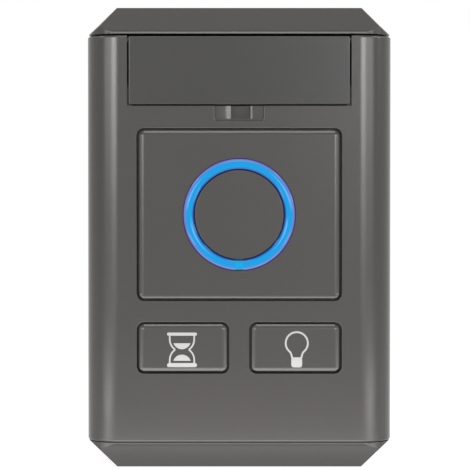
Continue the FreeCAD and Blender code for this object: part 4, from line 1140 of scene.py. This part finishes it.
@dataclass
class Button:
    """A button cap: a crowned plate with a skirt, and a flange that keeps it in the cover."""

    node: str
    body: str
    crown_reach: float = 1.5
    crown_drop: float = 0.5
    corner: float = 1.6
    flange_reach: float = 1.5
    flange: float = 1.2
    plate: float = 2.2
    face_trim: float = 0.18
    wall: float = 1.2
    skirt: float = 6.2
    post_half: float = 2.5
    post_rib: float = 0.7
    post_back: float = 21.0

    def cap(self) -> Solid:
        """Makes the cap with its hollow back."""
        box = Box.of(self.node)
        back = box.front - self.skirt
        face = box.grown(-self.flange_reach - self.face_trim)
        cap = Solid.stepped(face, self.corner,
                            [(back, 0.0)] + crown(box.front, self.crown_reach, self.crown_drop))
        cap.add(Solid.block(*box.edges, back, back + self.flange))
        return cap.cut(Solid.block(*face.grown(-self.wall).edges, back - PAST, box.front - self.plate))

    def post(self, centre: Pair, front: float) -> list[Solid]:
        """The cross-shaped post that presses the switch."""
        x, z = centre
        return [Solid.block(x - across, x + across, z - up, z + up, self.post_back, front + INTO)
                for across, up in ((self.post_half, self.post_rib), (self.post_rib, self.post_half))]

    def build(self) -> None:
        """Builds the button as one piece, and prints its icon."""
        box = Box.of(self.node)
        cap = self.cap().add(*self.post(box.centre, box.front - self.plate))
        dress(cap.piece(self.node + "_cap", HOUSING), self.body, "housing_plastic", self.node)
        self.print_icon(self.icon(), box)

    def icon(self) -> list[Sequence[Pair]]:
        """The icon's closed outlines, from the button's middle."""
        return []

    def print_icon(self, outlines: Sequence[Sequence[Pair]], box: Box) -> None:
        """Prints the icon as thin plates of ink on the button's face.

        Args:
            outlines: Closed outlines as x and z from the button's middle.
            box: The button's room.
        """
        sunk, proud = 0.02, 0.03
        x, z = box.centre
        first, *others = [Solid.extruded([(x + a, z + b) for a, b in outline], Axis.FORWARD,
                                         box.front - sunk, box.front + proud) for outline in outlines]
        first.add(*others)
        dress(first.piece(self.node + "_icon", INK.material()), self.body, "housing_plastic")


def stroke(path: Sequence[Pair], width: float) -> list[Pair]:
    """Draws a line of even width as a closed outline.

    Args:
        path: The points along the line's middle.
        width: The line's width.

    Returns:
        The outline, up one side and back down the other.
    """
    sides: list[list[Pair]] = [[], []]
    for i, (x, z) in enumerate(path):
        before, after = path[max(i - 1, 0)], path[min(i + 1, len(path) - 1)]
        along = Vector((after[0] - before[0], after[1] - before[1])).normalized()
        for points, side in zip(sides, (1, -1)):
            points.append((x - along.y * side * width / 2, z + along.x * side * width / 2))
    return sides[0] + sides[1][::-1]


@dataclass
class Bulb(Button):
    """The button of the work light, with a lamp bulb printed on it."""

    bulb_centre: Pair = (0.36, 1.36)
    bulb_radius: float = 3.25
    line: float = 0.52
    neck_turn: float = 54.0
    neck_foot: float = 1.3
    neck_waist: float = 1.62
    neck_low: float = -0.3
    neck_high: float = 0.95
    base_half: float = 1.6
    base_low: float = -5.78
    base_high: float = -2.82
    base_radius: float = 0.75
    glass_steps: int = 48
    base_steps: int = 4

    def icon(self) -> list[Sequence[Pair]]:
        """A bulb in outline on a solid base."""
        x = self.bulb_centre[0]
        glass = arc(self.bulb_centre, self.bulb_radius, 180 + self.neck_turn, -self.neck_turn,
                    self.glass_steps)
        foot, waist = self.base_high + self.neck_low, self.base_high + self.neck_high
        glass = [(x - self.neck_foot, foot), (x - self.neck_waist, waist), *glass,
                 (x + self.neck_waist, waist), (x + self.neck_foot, foot)]
        base = Span(x - self.base_half, x + self.base_half, self.base_low, self.base_high)
        return [stroke(glass, self.line), base.outline(self.base_radius, self.base_steps)]


@dataclass
class Hourglass(Button):
    """The button of the closing timer, with an hourglass printed on it."""

    middle: float = -0.29
    bar_half: float = 4.4
    top_bar: Pair = (3.56, 4.48)
    foot_bar: Pair = (-5.7, -4.5)
    glass_half: float = 3.6
    waist_half: float = 2.0
    waist_z: float = -0.55
    shoulder: float = 3.03
    line: float = 0.46
    upper_sand: tuple[float, float, float] = (2.5, 1.34, -0.43)
    lower_sand: tuple[float, float, float] = (2.55, -3.82, -2.02)
    sand_steps: int = 20
    bend_steps: int = 12
    bar_flat: float = 0.02
    bar_steps: int = 6

    def segment(self, half: float, flat: float, tip: float) -> list[Pair]:
        """Draws a heap of sand: a flat side and an arc that bulges to its tip."""
        sag = abs(tip - flat)
        radius = (half * half + sag * sag) / (2 * sag)
        sign = 1 if tip > flat else -1
        reach = math.degrees(math.asin(half / radius))
        points = arc((self.middle, tip - sign * radius), radius, 90 - reach, 90 + reach, self.sand_steps)
        return points if sign > 0 else [(x, 2 * (tip + radius) - z) for x, z in points]

    def icon(self) -> list[Sequence[Pair]]:
        """Two bars, the glass between them, and sand above and below."""
        bars = [Span(self.middle - self.bar_half, self.middle + self.bar_half, low, high)
                for low, high in (self.top_bar, self.foot_bar)]
        outlines = [bar.outline((bar.high - bar.low) / 2 - self.bar_flat, self.bar_steps) for bar in bars]
        fall = self.glass_half - self.waist_half
        turn = 2 * math.atan2(fall, self.shoulder)
        radius = self.shoulder / math.sin(turn)
        turns = [turn * i / self.bend_steps for i in range(self.bend_steps + 1)]
        bend = [(self.glass_half - radius * (1 - math.cos(t)),
                 self.waist_z + self.shoulder - radius * math.sin(t)) for t in turns]
        upper = [(self.glass_half, self.top_bar[0] + LAP)] + bend
        lower = [(self.glass_half, self.foot_bar[1] - LAP)] + [(x, 2 * self.waist_z - z) for x, z in bend]
        for half_glass in (upper, lower):
            for side in (1, -1):
                outlines.append(stroke([(self.middle + side * x, z) for x, z in half_glass], self.line))
        return outlines + [self.segment(*self.upper_sand), self.segment(*self.lower_sand)]


@dataclass
class MainButton(Button):
    """The large button, with the lit ring and the disc in its round hole."""

    ring_inner: float = 13.2
    ring_outer: float = 16.5
    ring_fit: float = 0.1
    ring_base: float = 26.4
    ring_top: float = 27.5
    ring_back: float = 23.6
    ring_flange: float = 1.1
    ring_flange_reach: float = 1.3
    crown_steps: int = 20
    disc_back: float = 22.4
    disc_flange: float = 1.1
    disc_edge: float = 0.25

    def build(self) -> None:
        """Builds the cap, the ring and the disc."""
        box = Box.of(self.node)
        centre = (0.0, box.centre[1])
        cap = self.cap().cut(bore(centre, self.ring_outer + self.ring_fit, box.front - self.plate - PAST,
                                  box.front + PAST, TURN_STEPS))
        dress(cap.piece("main_button_cap", HOUSING), self.body, "housing_plastic", self.node)
        self.build_ring(centre)
        self.build_disc(centre, box.front)

    def build_ring(self, centre: Pair) -> None:
        """Builds the lit ring with its half-round crown."""
        middle, half = (self.ring_inner + self.ring_outer) / 2, (self.ring_outer - self.ring_inner) / 2
        rise = self.ring_top - self.ring_base
        crowned = [(self.ring_base + rise * math.sin(t), middle - half * math.cos(t))
                   for t in (math.pi * i / self.crown_steps for i in range(self.crown_steps + 1))]
        flange = self.ring_back + self.ring_flange
        profile = [(self.ring_back, self.ring_inner), *crowned, (flange, self.ring_outer),
                   (flange, self.ring_outer + self.ring_flange_reach),
                   (self.ring_back, self.ring_outer + self.ring_flange_reach)]
        guide = LitGuide("lit_polycarbonate_light_guide", centre, self.ring_inner, self.ring_outer)
        ring = Solid.turned(centre, profile)
        dress(ring.piece("lit_ring", guide.material()), self.body, "light_guide", "ring_light_guide")

    def build_disc(self, centre: Pair, front: float) -> None:
        """Builds the disc inside the ring, with the post that presses the main switch."""
        radius = self.ring_inner - self.ring_fit
        flange = self.disc_back + self.disc_flange
        profile = [(self.disc_back, 0.0), (self.disc_back, radius + self.ring_flange_reach),
                   (flange, radius + self.ring_flange_reach), (flange, radius)]
        profile += [(depth, radius - inset) for depth, inset in quarter(front, self.disc_edge)]
        profile.append((front, 0.0))
        disc = Solid.turned(centre, profile).add(*self.post(centre, self.disc_back))
        dress(disc.piece("centre_disc_cap", HOUSING), self.body, "housing_plastic", "centre_disc")


@dataclass
class ServiceControls:
    """The dished learn button, the ribbed lock knob and the domed status lamp behind the flap."""

    edge: float = 0.4
    dish: float = 0.35
    dish_share: float = 0.78
    socket_half: float = 1.5
    socket_front: float = 21.0
    knob_corner: float = 0.2
    knob_edge: float = 0.25
    groove_half: float = 0.18
    groove_depth: float = 0.35
    groove_pitch: float = 0.75
    grooves: int = 3
    lamp_shoulder: float = 18.2
    dome_steps: int = 12
    button_sides: int = 64

    def build(self) -> None:
        """Builds all three."""
        self.build_learn_button()
        self.build_lock_knob()
        self.build_status_lamp()

    def build_learn_button(self) -> None:
        """Builds the learn button with a dished top and the socket for its plunger."""
        box = Box.of("learn_button")
        radius = box.right - box.centre[0]
        dished = [(box.front - self.dish * (1 - (i / ARC_STEPS) ** 2),
                   radius * self.dish_share * i / ARC_STEPS) for i in range(ARC_STEPS, -1, -1)]
        profile = [(box.back, 0.0), (box.back, radius)]
        profile += [(depth, radius - inset) for depth, inset in quarter(box.front, self.edge)] + dished
        button = Solid.turned(box.centre, profile, self.button_sides)
        x, z = box.centre
        half = self.socket_half
        button.cut(Solid.block(x - half, x + half, z - half, z + half, box.back - PAST, self.socket_front))
        dress(button.piece("learn_button_cap", ACETAL.material()), "learn_button_group", "plunger_plastic",
              "learn_button")

    def build_lock_knob(self) -> None:
        """Builds the lock knob with grooves for a fingernail."""
        box = Box.of("lock_knob")
        knob = Solid.stepped(box, self.knob_corner, [(box.back, 0.0)] + quarter(box.front, self.knob_edge))
        x, z = box.centre
        half, reach = self.groove_half, box.high - box.low
        outline = [(-half, PAST), (-half, 0.0), (0.0, -self.groove_depth), (half, 0.0), (half, PAST)]
        groove = Solid.extruded(outline, Axis.UP, -reach, reach)
        first = x - self.groove_pitch * (self.grooves - 1) / 2
        material = ACETAL.material()
        groove.repeated(Layout.ROW, material, Count=self.grooves, First=point((first, box.front, z)),
                        Step=point((self.groove_pitch, 0.0, 0.0)))
        dress(knob.cut(groove).piece("lock_knob_cap", material), "lock_knob_body", "plunger_plastic",
              "lock_knob")

    def build_status_lamp(self) -> None:
        """Builds the status lamp with its domed lens."""
        box = Box.of("status_led")
        radius = box.right - box.centre[0]
        dome = [(self.lamp_shoulder + (box.front - self.lamp_shoulder) * math.sin(t), radius * math.cos(t))
                for t in (math.pi / 2 * i / self.dome_steps for i in range(self.dome_steps))]
        profile = [(box.back, 0.0), (box.back, radius), *dome, (box.front, 0.0)]
        lamp = Solid.turned(box.centre, profile, BORE_STEPS)
        resin = LampResin("cast_epoxy_lamp_lens", "#c9cfc4", "#7fa08a", 0.05)
        dress(lamp.piece("status_lamp", resin.material()), "housing", "lamp_resin", "status_led")


@dataclass
class BatteryDoor:
    """The battery door in the wall face: two hooks below, and a spring tongue with nail grooves above."""

    thickness: float = 1.2
    edge: float = 0.25
    corner: float = 0.4
    low: float = 3.1
    tab_place: float = 14.0
    tab_half: float = 2.5
    tab_reach: float = 1.5
    tab: Pair = (1.4, 2.2)
    root_back: float = 0.6
    slit: Pair = (5.2, 6.2)
    slit_length: float = 6.0
    groove_half: float = 0.35
    groove_depth: float = 0.3
    groove_pitch: float = 1.4
    groove_reach: float = 4.2
    grooves: int = 4

    def build(self) -> None:
        """Builds the door as one piece."""
        box = Box.of("battery_door")
        profile = [(self.thickness, 0.0)] + [(-depth, inset) for depth, inset in quarter(0.0, self.edge)]
        door = Solid.stepped(Span(box.left, box.right, self.low, box.high), self.corner, profile)
        near, far = self.tab_place - self.tab_half, self.tab_place + self.tab_half
        top = self.low + self.tab_reach
        tabs = both_sides(near, far, self.low - self.tab_reach, top, *self.tab)
        roots = both_sides(near, far, self.low + LAP, top, self.root_back, self.tab[0] + LAP)
        door.add(*(part for hook in zip(tabs, roots) for part in hook))
        slits = both_sides(*self.slit, box.high - self.slit_length, box.high + PAST, -PAST,
                           self.thickness + LAP)
        half = self.groove_half
        outline = [(-PAST, -half), (0.0, -half), (self.groove_depth, 0.0), (0.0, half), (-PAST, half)]
        groove = Solid.extruded(outline, Axis.ACROSS, -self.groove_reach, self.groove_reach)
        material = DOOR_ABS.material()
        first = box.high - self.groove_pitch * self.grooves
        groove.repeated(Layout.ROW, material, Count=self.grooves, First=point((0.0, 0.0, first)),
                        Step=point((0.0, 0.0, self.groove_pitch)))
        door.cut(*slits, groove)
        dress(door.piece("battery_door_panel", material), "battery_door_body", "housing_plastic",
              "battery_door")


@dataclass
class Screws:
    """A pair of pan-head screws with a cross recess and a thread.

    The rounds of the head are pairs of depth and radius, as shares of its height and of its own radius.
    """

    node: str
    facing: int
    head: float
    height: float
    shank: float
    rounds: tuple[Pair, ...] = ((0.0, 0.0), (0.0, 0.5), (0.12, 0.8), (0.35, 0.97), (0.5, 1.0), (1.0, 1.0))
    thread_pitch: float = 0.8
    thread_depth: float = 0.2
    point_length: float = 0.9
    tip: Pair = (0.1, 0.3)
    sides: int = 32
    recess_length: float = 0.62
    recess_width: float = 0.14
    recess_depth: float = 0.5

    def build(self) -> None:
        """Builds one screw and repeats it across the console."""
        box = Box.of(self.node)
        material = ZINC.material()
        top = box.back if self.facing < 0 else box.front
        screw = self.screw(box.front - box.back)
        screw.repeated(Layout.ROW, material, Count=2,
                       First=point((box.left + self.head, top, box.centre[1])),
                       Step=point((box.right - box.left - 2 * self.head, 0.0, 0.0)))
        dress(screw.piece(self.node + "_set", material), "housing", "screw_steel", self.node)

    def screw(self, length: float) -> Solid:
        """Makes one screw of the given length, with its head's top at the origin and its point behind it."""
        head, height, pitch = self.head, self.height, self.thread_pitch
        root = self.shank - self.thread_depth
        profile = [(height * depth, head * radius) for depth, radius in self.rounds] + [(height, root)]
        for i in range(int((length - height - self.point_length) / pitch)):
            start = height + i * pitch
            profile += [(start + pitch * share, radius)
                        for share, radius in ((0.25, root), (0.5, self.shank), (0.75, root))]
        profile += [(length - self.tip[0], self.tip[1]), (length, 0.0)]
        made = Solid.turned((0.0, 0.0), [(-self.facing * depth, r) for depth, r in profile], self.sides)
        reach, half = head * self.recess_length, head * self.recess_width
        front, back = sorted((self.facing * PAST, -self.facing * height * self.recess_depth))
        return made.cut(*(Solid.block(-a, a, -b, b, front, back) for a, b in ((reach, half), (half, reach))))


@dataclass
class RingLamps:
    """The six lamps under the lit ring: a white case with a sunk lens."""

    count: int = 6
    radius: float = 14.85
    half: float = 1.4
    lens_radius: float = 1.05
    lens_depth: float = 0.25
    lens_share: float = 0.85
    edge: float = 0.12
    corner: float = 0.2
    lens_steps: int = 24
    case_turn: float = -30.0

    def build(self) -> None:
        """Builds one lamp and repeats it round the ring."""
        box = Box.of("ring_leds")
        x, z = Box.of("centre_disc").centre
        height = box.front - box.back
        floor, rim = height - self.lens_depth, height + LAP
        lamp = Solid.stepped(Span(-self.half, self.half, -self.half, self.half), self.corner,
                             [(0.0, 0.0)] + quarter(height, self.edge))
        lens = [(floor, 0.0), (floor, self.lens_radius * self.lens_share), (rim, self.lens_radius),
                (rim, 0.0)]
        lamp.cut(Solid.turned((0.0, 0.0), lens, self.lens_steps))
        resin = LampResin("white_lamp_case_with_blue_die", "#dfe3e6", "#5aa8e8", 0.3).material()
        lamp.repeated(Layout.RING, resin, Count=self.count, Radius=self.radius * MM,
                      Centre=point((x, box.back, z)),
                      Turn=Vector((math.radians(90), math.radians(self.case_turn), 0.0)))
        dress(lamp.piece("ring_lamp_set", resin), "housing", "lamp_resin", "ring_leds")


@dataclass
class Insides:
    """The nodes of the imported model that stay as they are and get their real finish."""

    nylon: tuple[str, ...] = ("main_switch", "delay_switch", "light_switch", "learn_switch", "lock_switch")
    acetal: tuple[str, ...] = ("main_plunger", "delay_plunger", "light_plunger", "learn_plunger")
    nickel: tuple[str, ...] = ("positive_contact", "negative_contact", "bridge_contact", "loop_antenna")
    end_share: float = 0.999

    def build(self) -> None:
        """Puts a finish on each node."""
        finishes = {SolderMask().material(): ("circuit_board",), NYLON.material(): self.nylon,
                    ACETAL.material(): self.acetal, NICKEL.material(): self.nickel,
                    EPOXY.material(): ("controller_chip",), TIN.material(): ("radio_module",)}
        for node in ("upper_cell", "lower_cell"):
            box = Box.of(node)
            finishes[CellSleeve(node.replace("cell", "shrunk_film_on_dry_cell"), self.nub_side(node),
                                half=box.right).material()] = (node,)
        for material, nodes in finishes.items():
            for node in nodes:
                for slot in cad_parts[node].material_slots:
                    slot.material = material
                log.info("%s: %s", node, material.name)

    def nub_side(self, node: str) -> int:
        """Finds the end with the raised contact: the end face there is the smaller one."""
        middle, end = Box.of(node).centre[1] * MM, Box.of(node).right * MM * self.end_share
        reach = {side: max((abs(v.co.z - middle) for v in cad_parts[node].data.vertices
                            if side * v.co.x > end), default=0.0) for side in (1, -1)}
        return 1 if reach[1] < reach[-1] else -1


@dataclass(frozen=True)
class Lamp:
    """A softbox: where it hangs, where it points, its size and its radiance, where 1 is white."""

    name: str
    place: Place
    aim: Place
    width: float
    height: float
    radiance: float

    def build(self) -> None:
        """Builds the softbox as an area lamp."""
        data = bpy.data.lights.new(self.name, "AREA")
        data.shape = "RECTANGLE"
        data.size = self.width * MM
        data.size_y = self.height * MM
        data.energy = self.radiance * math.pi * data.size * data.size_y
        made = linked(self.name, data)
        made.location = point(self.place)
        made.rotation_mode = "QUATERNION"
        made.rotation_quaternion = (point(self.aim) - point(self.place)).to_track_quat("-Z", "Y")
        made.visible_camera = False


@dataclass
class Studio:
    """A white table lit from below, softboxes on both sides and above, and a camera almost on the axis."""

    camera_distance: float = 650.0
    camera_x: float = -1.25
    camera_z: float = 1.05
    camera_rise: float = 1.3
    focal_length: float = 169.5
    sensor: float = 36.0
    floor_half: float = 3000.0
    floor_gap: float = 0.1
    floor_near: float = 150.0
    floor_far: float = 600.0
    floor_glow: float = 0.92
    fill: float = 0.08
    side_distance: float = 1100.0
    side_base: float = 55.0
    side_height: float = 220.0
    key_turns: tuple[float, float] = (21.8, 17.6)
    key_width: float = 300.0
    key_radiance: tuple[float, float] = (13.0, 13.4)
    wing_turns: tuple[float, float] = (42.0, 40.0)
    wing_width: float = 500.0
    wing_radiance: tuple[float, float] = (4.0, 4.6)
    upper_rise: float = 53.0
    upper_width: float = 500.0
    upper_height: float = 340.0
    upper_radiance: float = 4.9
    glint_off_axis: float = 79.0
    glint_rolls: tuple[float, ...] = (143.0, 46.0, 18.0)
    glint_side: float = 190.0
    glint_radiance: float = 17.0
    strip_front: float = 52.0
    strip_width: float = 170.0
    strip_length: float = 36.0
    strip_radiance: float = 4.5
    pad_reach: float = 165.0
    pad_side: float = 120.0
    pad_radiance: float = 7.0
    table_light: float = 1.2
    table_near: float = 30.0
    table_far: float = 200.0
    lamp_lift: float = 0.5
    lamp_aim: float = 100.0
    paper: str = "#bcbcbc"
    faint_paper: str = "#909090"

    def build(self) -> None:
        """Builds the camera, the floor, the lamps and the world."""
        bpy.context.scene.view_settings.view_transform = "Standard"
        self.build_camera()
        self.build_floor(CAD_BOX[0].z)
        low = CAD_BOX[0].z / MM + self.lamp_lift
        for lamp in [*self.side_lamps(), *self.table_lamps(low), *self.glints()]:
            lamp.build()
        self.build_world()

    def build_camera(self) -> None:
        """Builds the camera, which looks down a little from in front of the cover."""
        lens = bpy.data.cameras.new("camera")
        lens.lens = self.focal_length
        lens.sensor_width = self.sensor
        camera = linked("camera", lens)
        rise = math.radians(self.camera_rise)
        front = Box.of("front_cover").front
        camera.location = point((self.camera_x, front + self.camera_distance * math.cos(rise),
                                 self.camera_z + self.camera_distance * math.sin(rise)))
        camera.rotation_euler = (math.radians(90) - rise, 0, 0)
        bpy.context.scene.camera = camera

    def side_lamps(self) -> list[Lamp]:
        """Lists the key and wing softboxes on both sides, and the one above."""
        far, height = self.side_distance, self.side_base + self.side_height / 2
        lamps = []
        for kind, angles, width, powers in (("key", self.key_turns, self.key_width, self.key_radiance),
                                            ("wing", self.wing_turns, self.wing_width, self.wing_radiance)):
            for name, side, angle, radiance in zip(("left", "right"), (-1, 1), angles, powers):
                turn = math.radians(angle)
                place = (side * far * math.sin(turn), far * math.cos(turn), height)
                lamps.append(Lamp(kind + "_" + name, place, (0.0, 0.0, height), width, self.side_height,
                                  radiance))
        return lamps + [Lamp("upper", self.around(self.upper_rise, 90), (0.0, 0.0, 0.0),
                             self.upper_width, self.upper_height, self.upper_radiance)]

    def table_lamps(self, low: float) -> list[Lamp]:
        """Lists the softboxes that lie on the table and shine straight up: a strip in front and two pads."""
        pad = (self.pad_reach, self.pad_side, self.pad_side, self.pad_radiance)
        rows = (("strip", 0.0, self.strip_front, self.strip_width, self.strip_length, self.strip_radiance),
                ("pad_left", -self.pad_reach, *pad), ("pad_right", self.pad_reach, *pad))
        return [Lamp("table_" + name, (x, front, low), (x, front, self.lamp_aim), width, length, radiance)
                for name, x, front, width, length, radiance in rows]

    def glints(self) -> list[Lamp]:
        """Lists the small far lamps that make the glints on the ring."""
        return [Lamp("glint_%d" % number, self.around(self.glint_off_axis, roll), (0.0, 0.0, 0.0),
                     self.glint_side, self.glint_side, self.glint_radiance)
                for number, roll in enumerate(self.glint_rolls, start=1)]

    def around(self, off_axis: float, roll: float) -> Place:
        """Finds a place round the console.

        Args:
            off_axis: The angle from straight in front, in degrees.
            roll: The direction as seen from the front, in degrees anticlockwise from the right.

        Returns:
            The place, at the lamps' distance.
        """
        off, turn = math.radians(off_axis), math.radians(roll)
        return (self.side_distance * math.sin(off) * math.cos(turn), self.side_distance * math.cos(off),
                self.side_distance * math.sin(off) * math.sin(turn))

    def build_floor(self, level: float) -> None:
        """Builds the white table that the console stands on, which fades to plain white further out."""
        mesh = bmesh.new()
        half = self.floor_half * MM
        height = level - self.floor_gap * MM
        corners = ((-half, -half), (half, -half), (half, half), (-half, half))
        mesh.faces.new([mesh.verts.new((x, y, height)) for x, y in corners])
        data = bpy.data.meshes.new("floor")
        mesh.to_mesh(data)
        mesh.free()
        floor = linked("floor", data)
        material = bpy.data.materials.new("white_table")
        tree = empty_tree(material)
        place = add_node(tree, "ShaderNodeTexCoord").outputs["Object"]
        away = add_node(tree, "ShaderNodeVectorMath", {"operation": "LENGTH"}, {0: place})
        fade = add_node(tree, "ShaderNodeMapRange", {"interpolation_type": "SMOOTHSTEP"}, {
            "Value": away.outputs["Value"], "From Min": self.floor_near * MM,
            "From Max": self.floor_far * MM})
        pool = add_node(tree, "ShaderNodeMapRange", {"interpolation_type": "SMOOTHSTEP"}, {
            "Value": away.outputs["Value"], "From Min": self.table_near * MM,
            "From Max": self.table_far * MM, "To Min": self.table_light, "To Max": 0.0})
        paper = add_node(tree, "ShaderNodeBsdfDiffuse", inputs={"Color": linear(self.paper)})
        lit = add_node(tree, "ShaderNodeEmission", inputs={"Strength": pool.outputs["Result"]})
        matt = add_node(tree, "ShaderNodeAddShader", inputs={0: paper.outputs[0], 1: lit.outputs[0]})
        faint = add_node(tree, "ShaderNodeBsdfDiffuse", inputs={"Color": linear(self.faint_paper)})
        glow = add_node(tree, "ShaderNodeEmission", inputs={"Strength": self.floor_glow})
        near = add_node(tree, "ShaderNodeAddShader", inputs={0: faint.outputs[0], 1: glow.outputs[0]})
        far = add_node(tree, "ShaderNodeEmission", inputs={"Strength": 1.0})
        shown = add_node(tree, "ShaderNodeMixShader", inputs={
            0: fade.outputs["Result"], 1: near.outputs[0], 2: far.outputs[0]})
        mixed = add_node(tree, "ShaderNodeMixShader", inputs={
            0: self.seen_directly(tree), 1: matt.outputs[0], 2: shown.outputs[0]})
        add_node(tree, "ShaderNodeOutputMaterial", inputs={"Surface": mixed.outputs[0]})
        data.materials.append(material)

    def seen_directly(self, tree: Tree) -> Socket:
        """Adds the test for rays that show the background: camera, mirror and glass ones."""
        path = add_node(tree, "ShaderNodeLightPath")
        either = add_node(tree, "ShaderNodeMath", {"operation": "MAXIMUM"}, {
            0: path.outputs["Is Camera Ray"], 1: path.outputs["Is Glossy Ray"]})
        any_of = add_node(tree, "ShaderNodeMath", {"operation": "MAXIMUM"}, {
            0: either.outputs[0], 1: path.outputs["Is Transmission Ray"]})
        return any_of.outputs[0]

    def build_world(self) -> None:
        """Builds the world: an even fill, and white where it is seen."""
        world = bpy.data.worlds.new("white_room")
        tree = empty_tree(world)
        soft = add_node(tree, "ShaderNodeBackground", inputs={"Color": (1, 1, 1, 1), "Strength": self.fill})
        white = add_node(tree, "ShaderNodeBackground", inputs={"Color": (1, 1, 1, 1), "Strength": 1.0})
        mixed = add_node(tree, "ShaderNodeMixShader", inputs={
            0: self.seen_directly(tree), 1: soft.outputs[0], 2: white.outputs[0]})
        add_node(tree, "ShaderNodeOutputWorld", inputs={"Surface": mixed.outputs[0]})
        bpy.context.scene.world = world


def main() -> None:
    """Builds every sub-assembly and the studio."""
    logging.basicConfig(level=logging.INFO, format="%(message)s")
    RearHousing().build()
    FrontCover().build()
    ServiceFlap().build()
    MainButton("main_button", "main_button_group").build()
    Hourglass("delay_button", "delay_button_body").build()
    Bulb("light_button", "light_button_body").build()
    ServiceControls().build()
    BatteryDoor().build()
    Screws("cover_screws", -1, 2.6, 1.8, 1.25).build()
    Screws("board_screws", 1, 1.8, 1.3, 0.8).build()
    RingLamps().build()
    Insides().build()
    Studio().build()


if __name__ == "__main__":
    main()
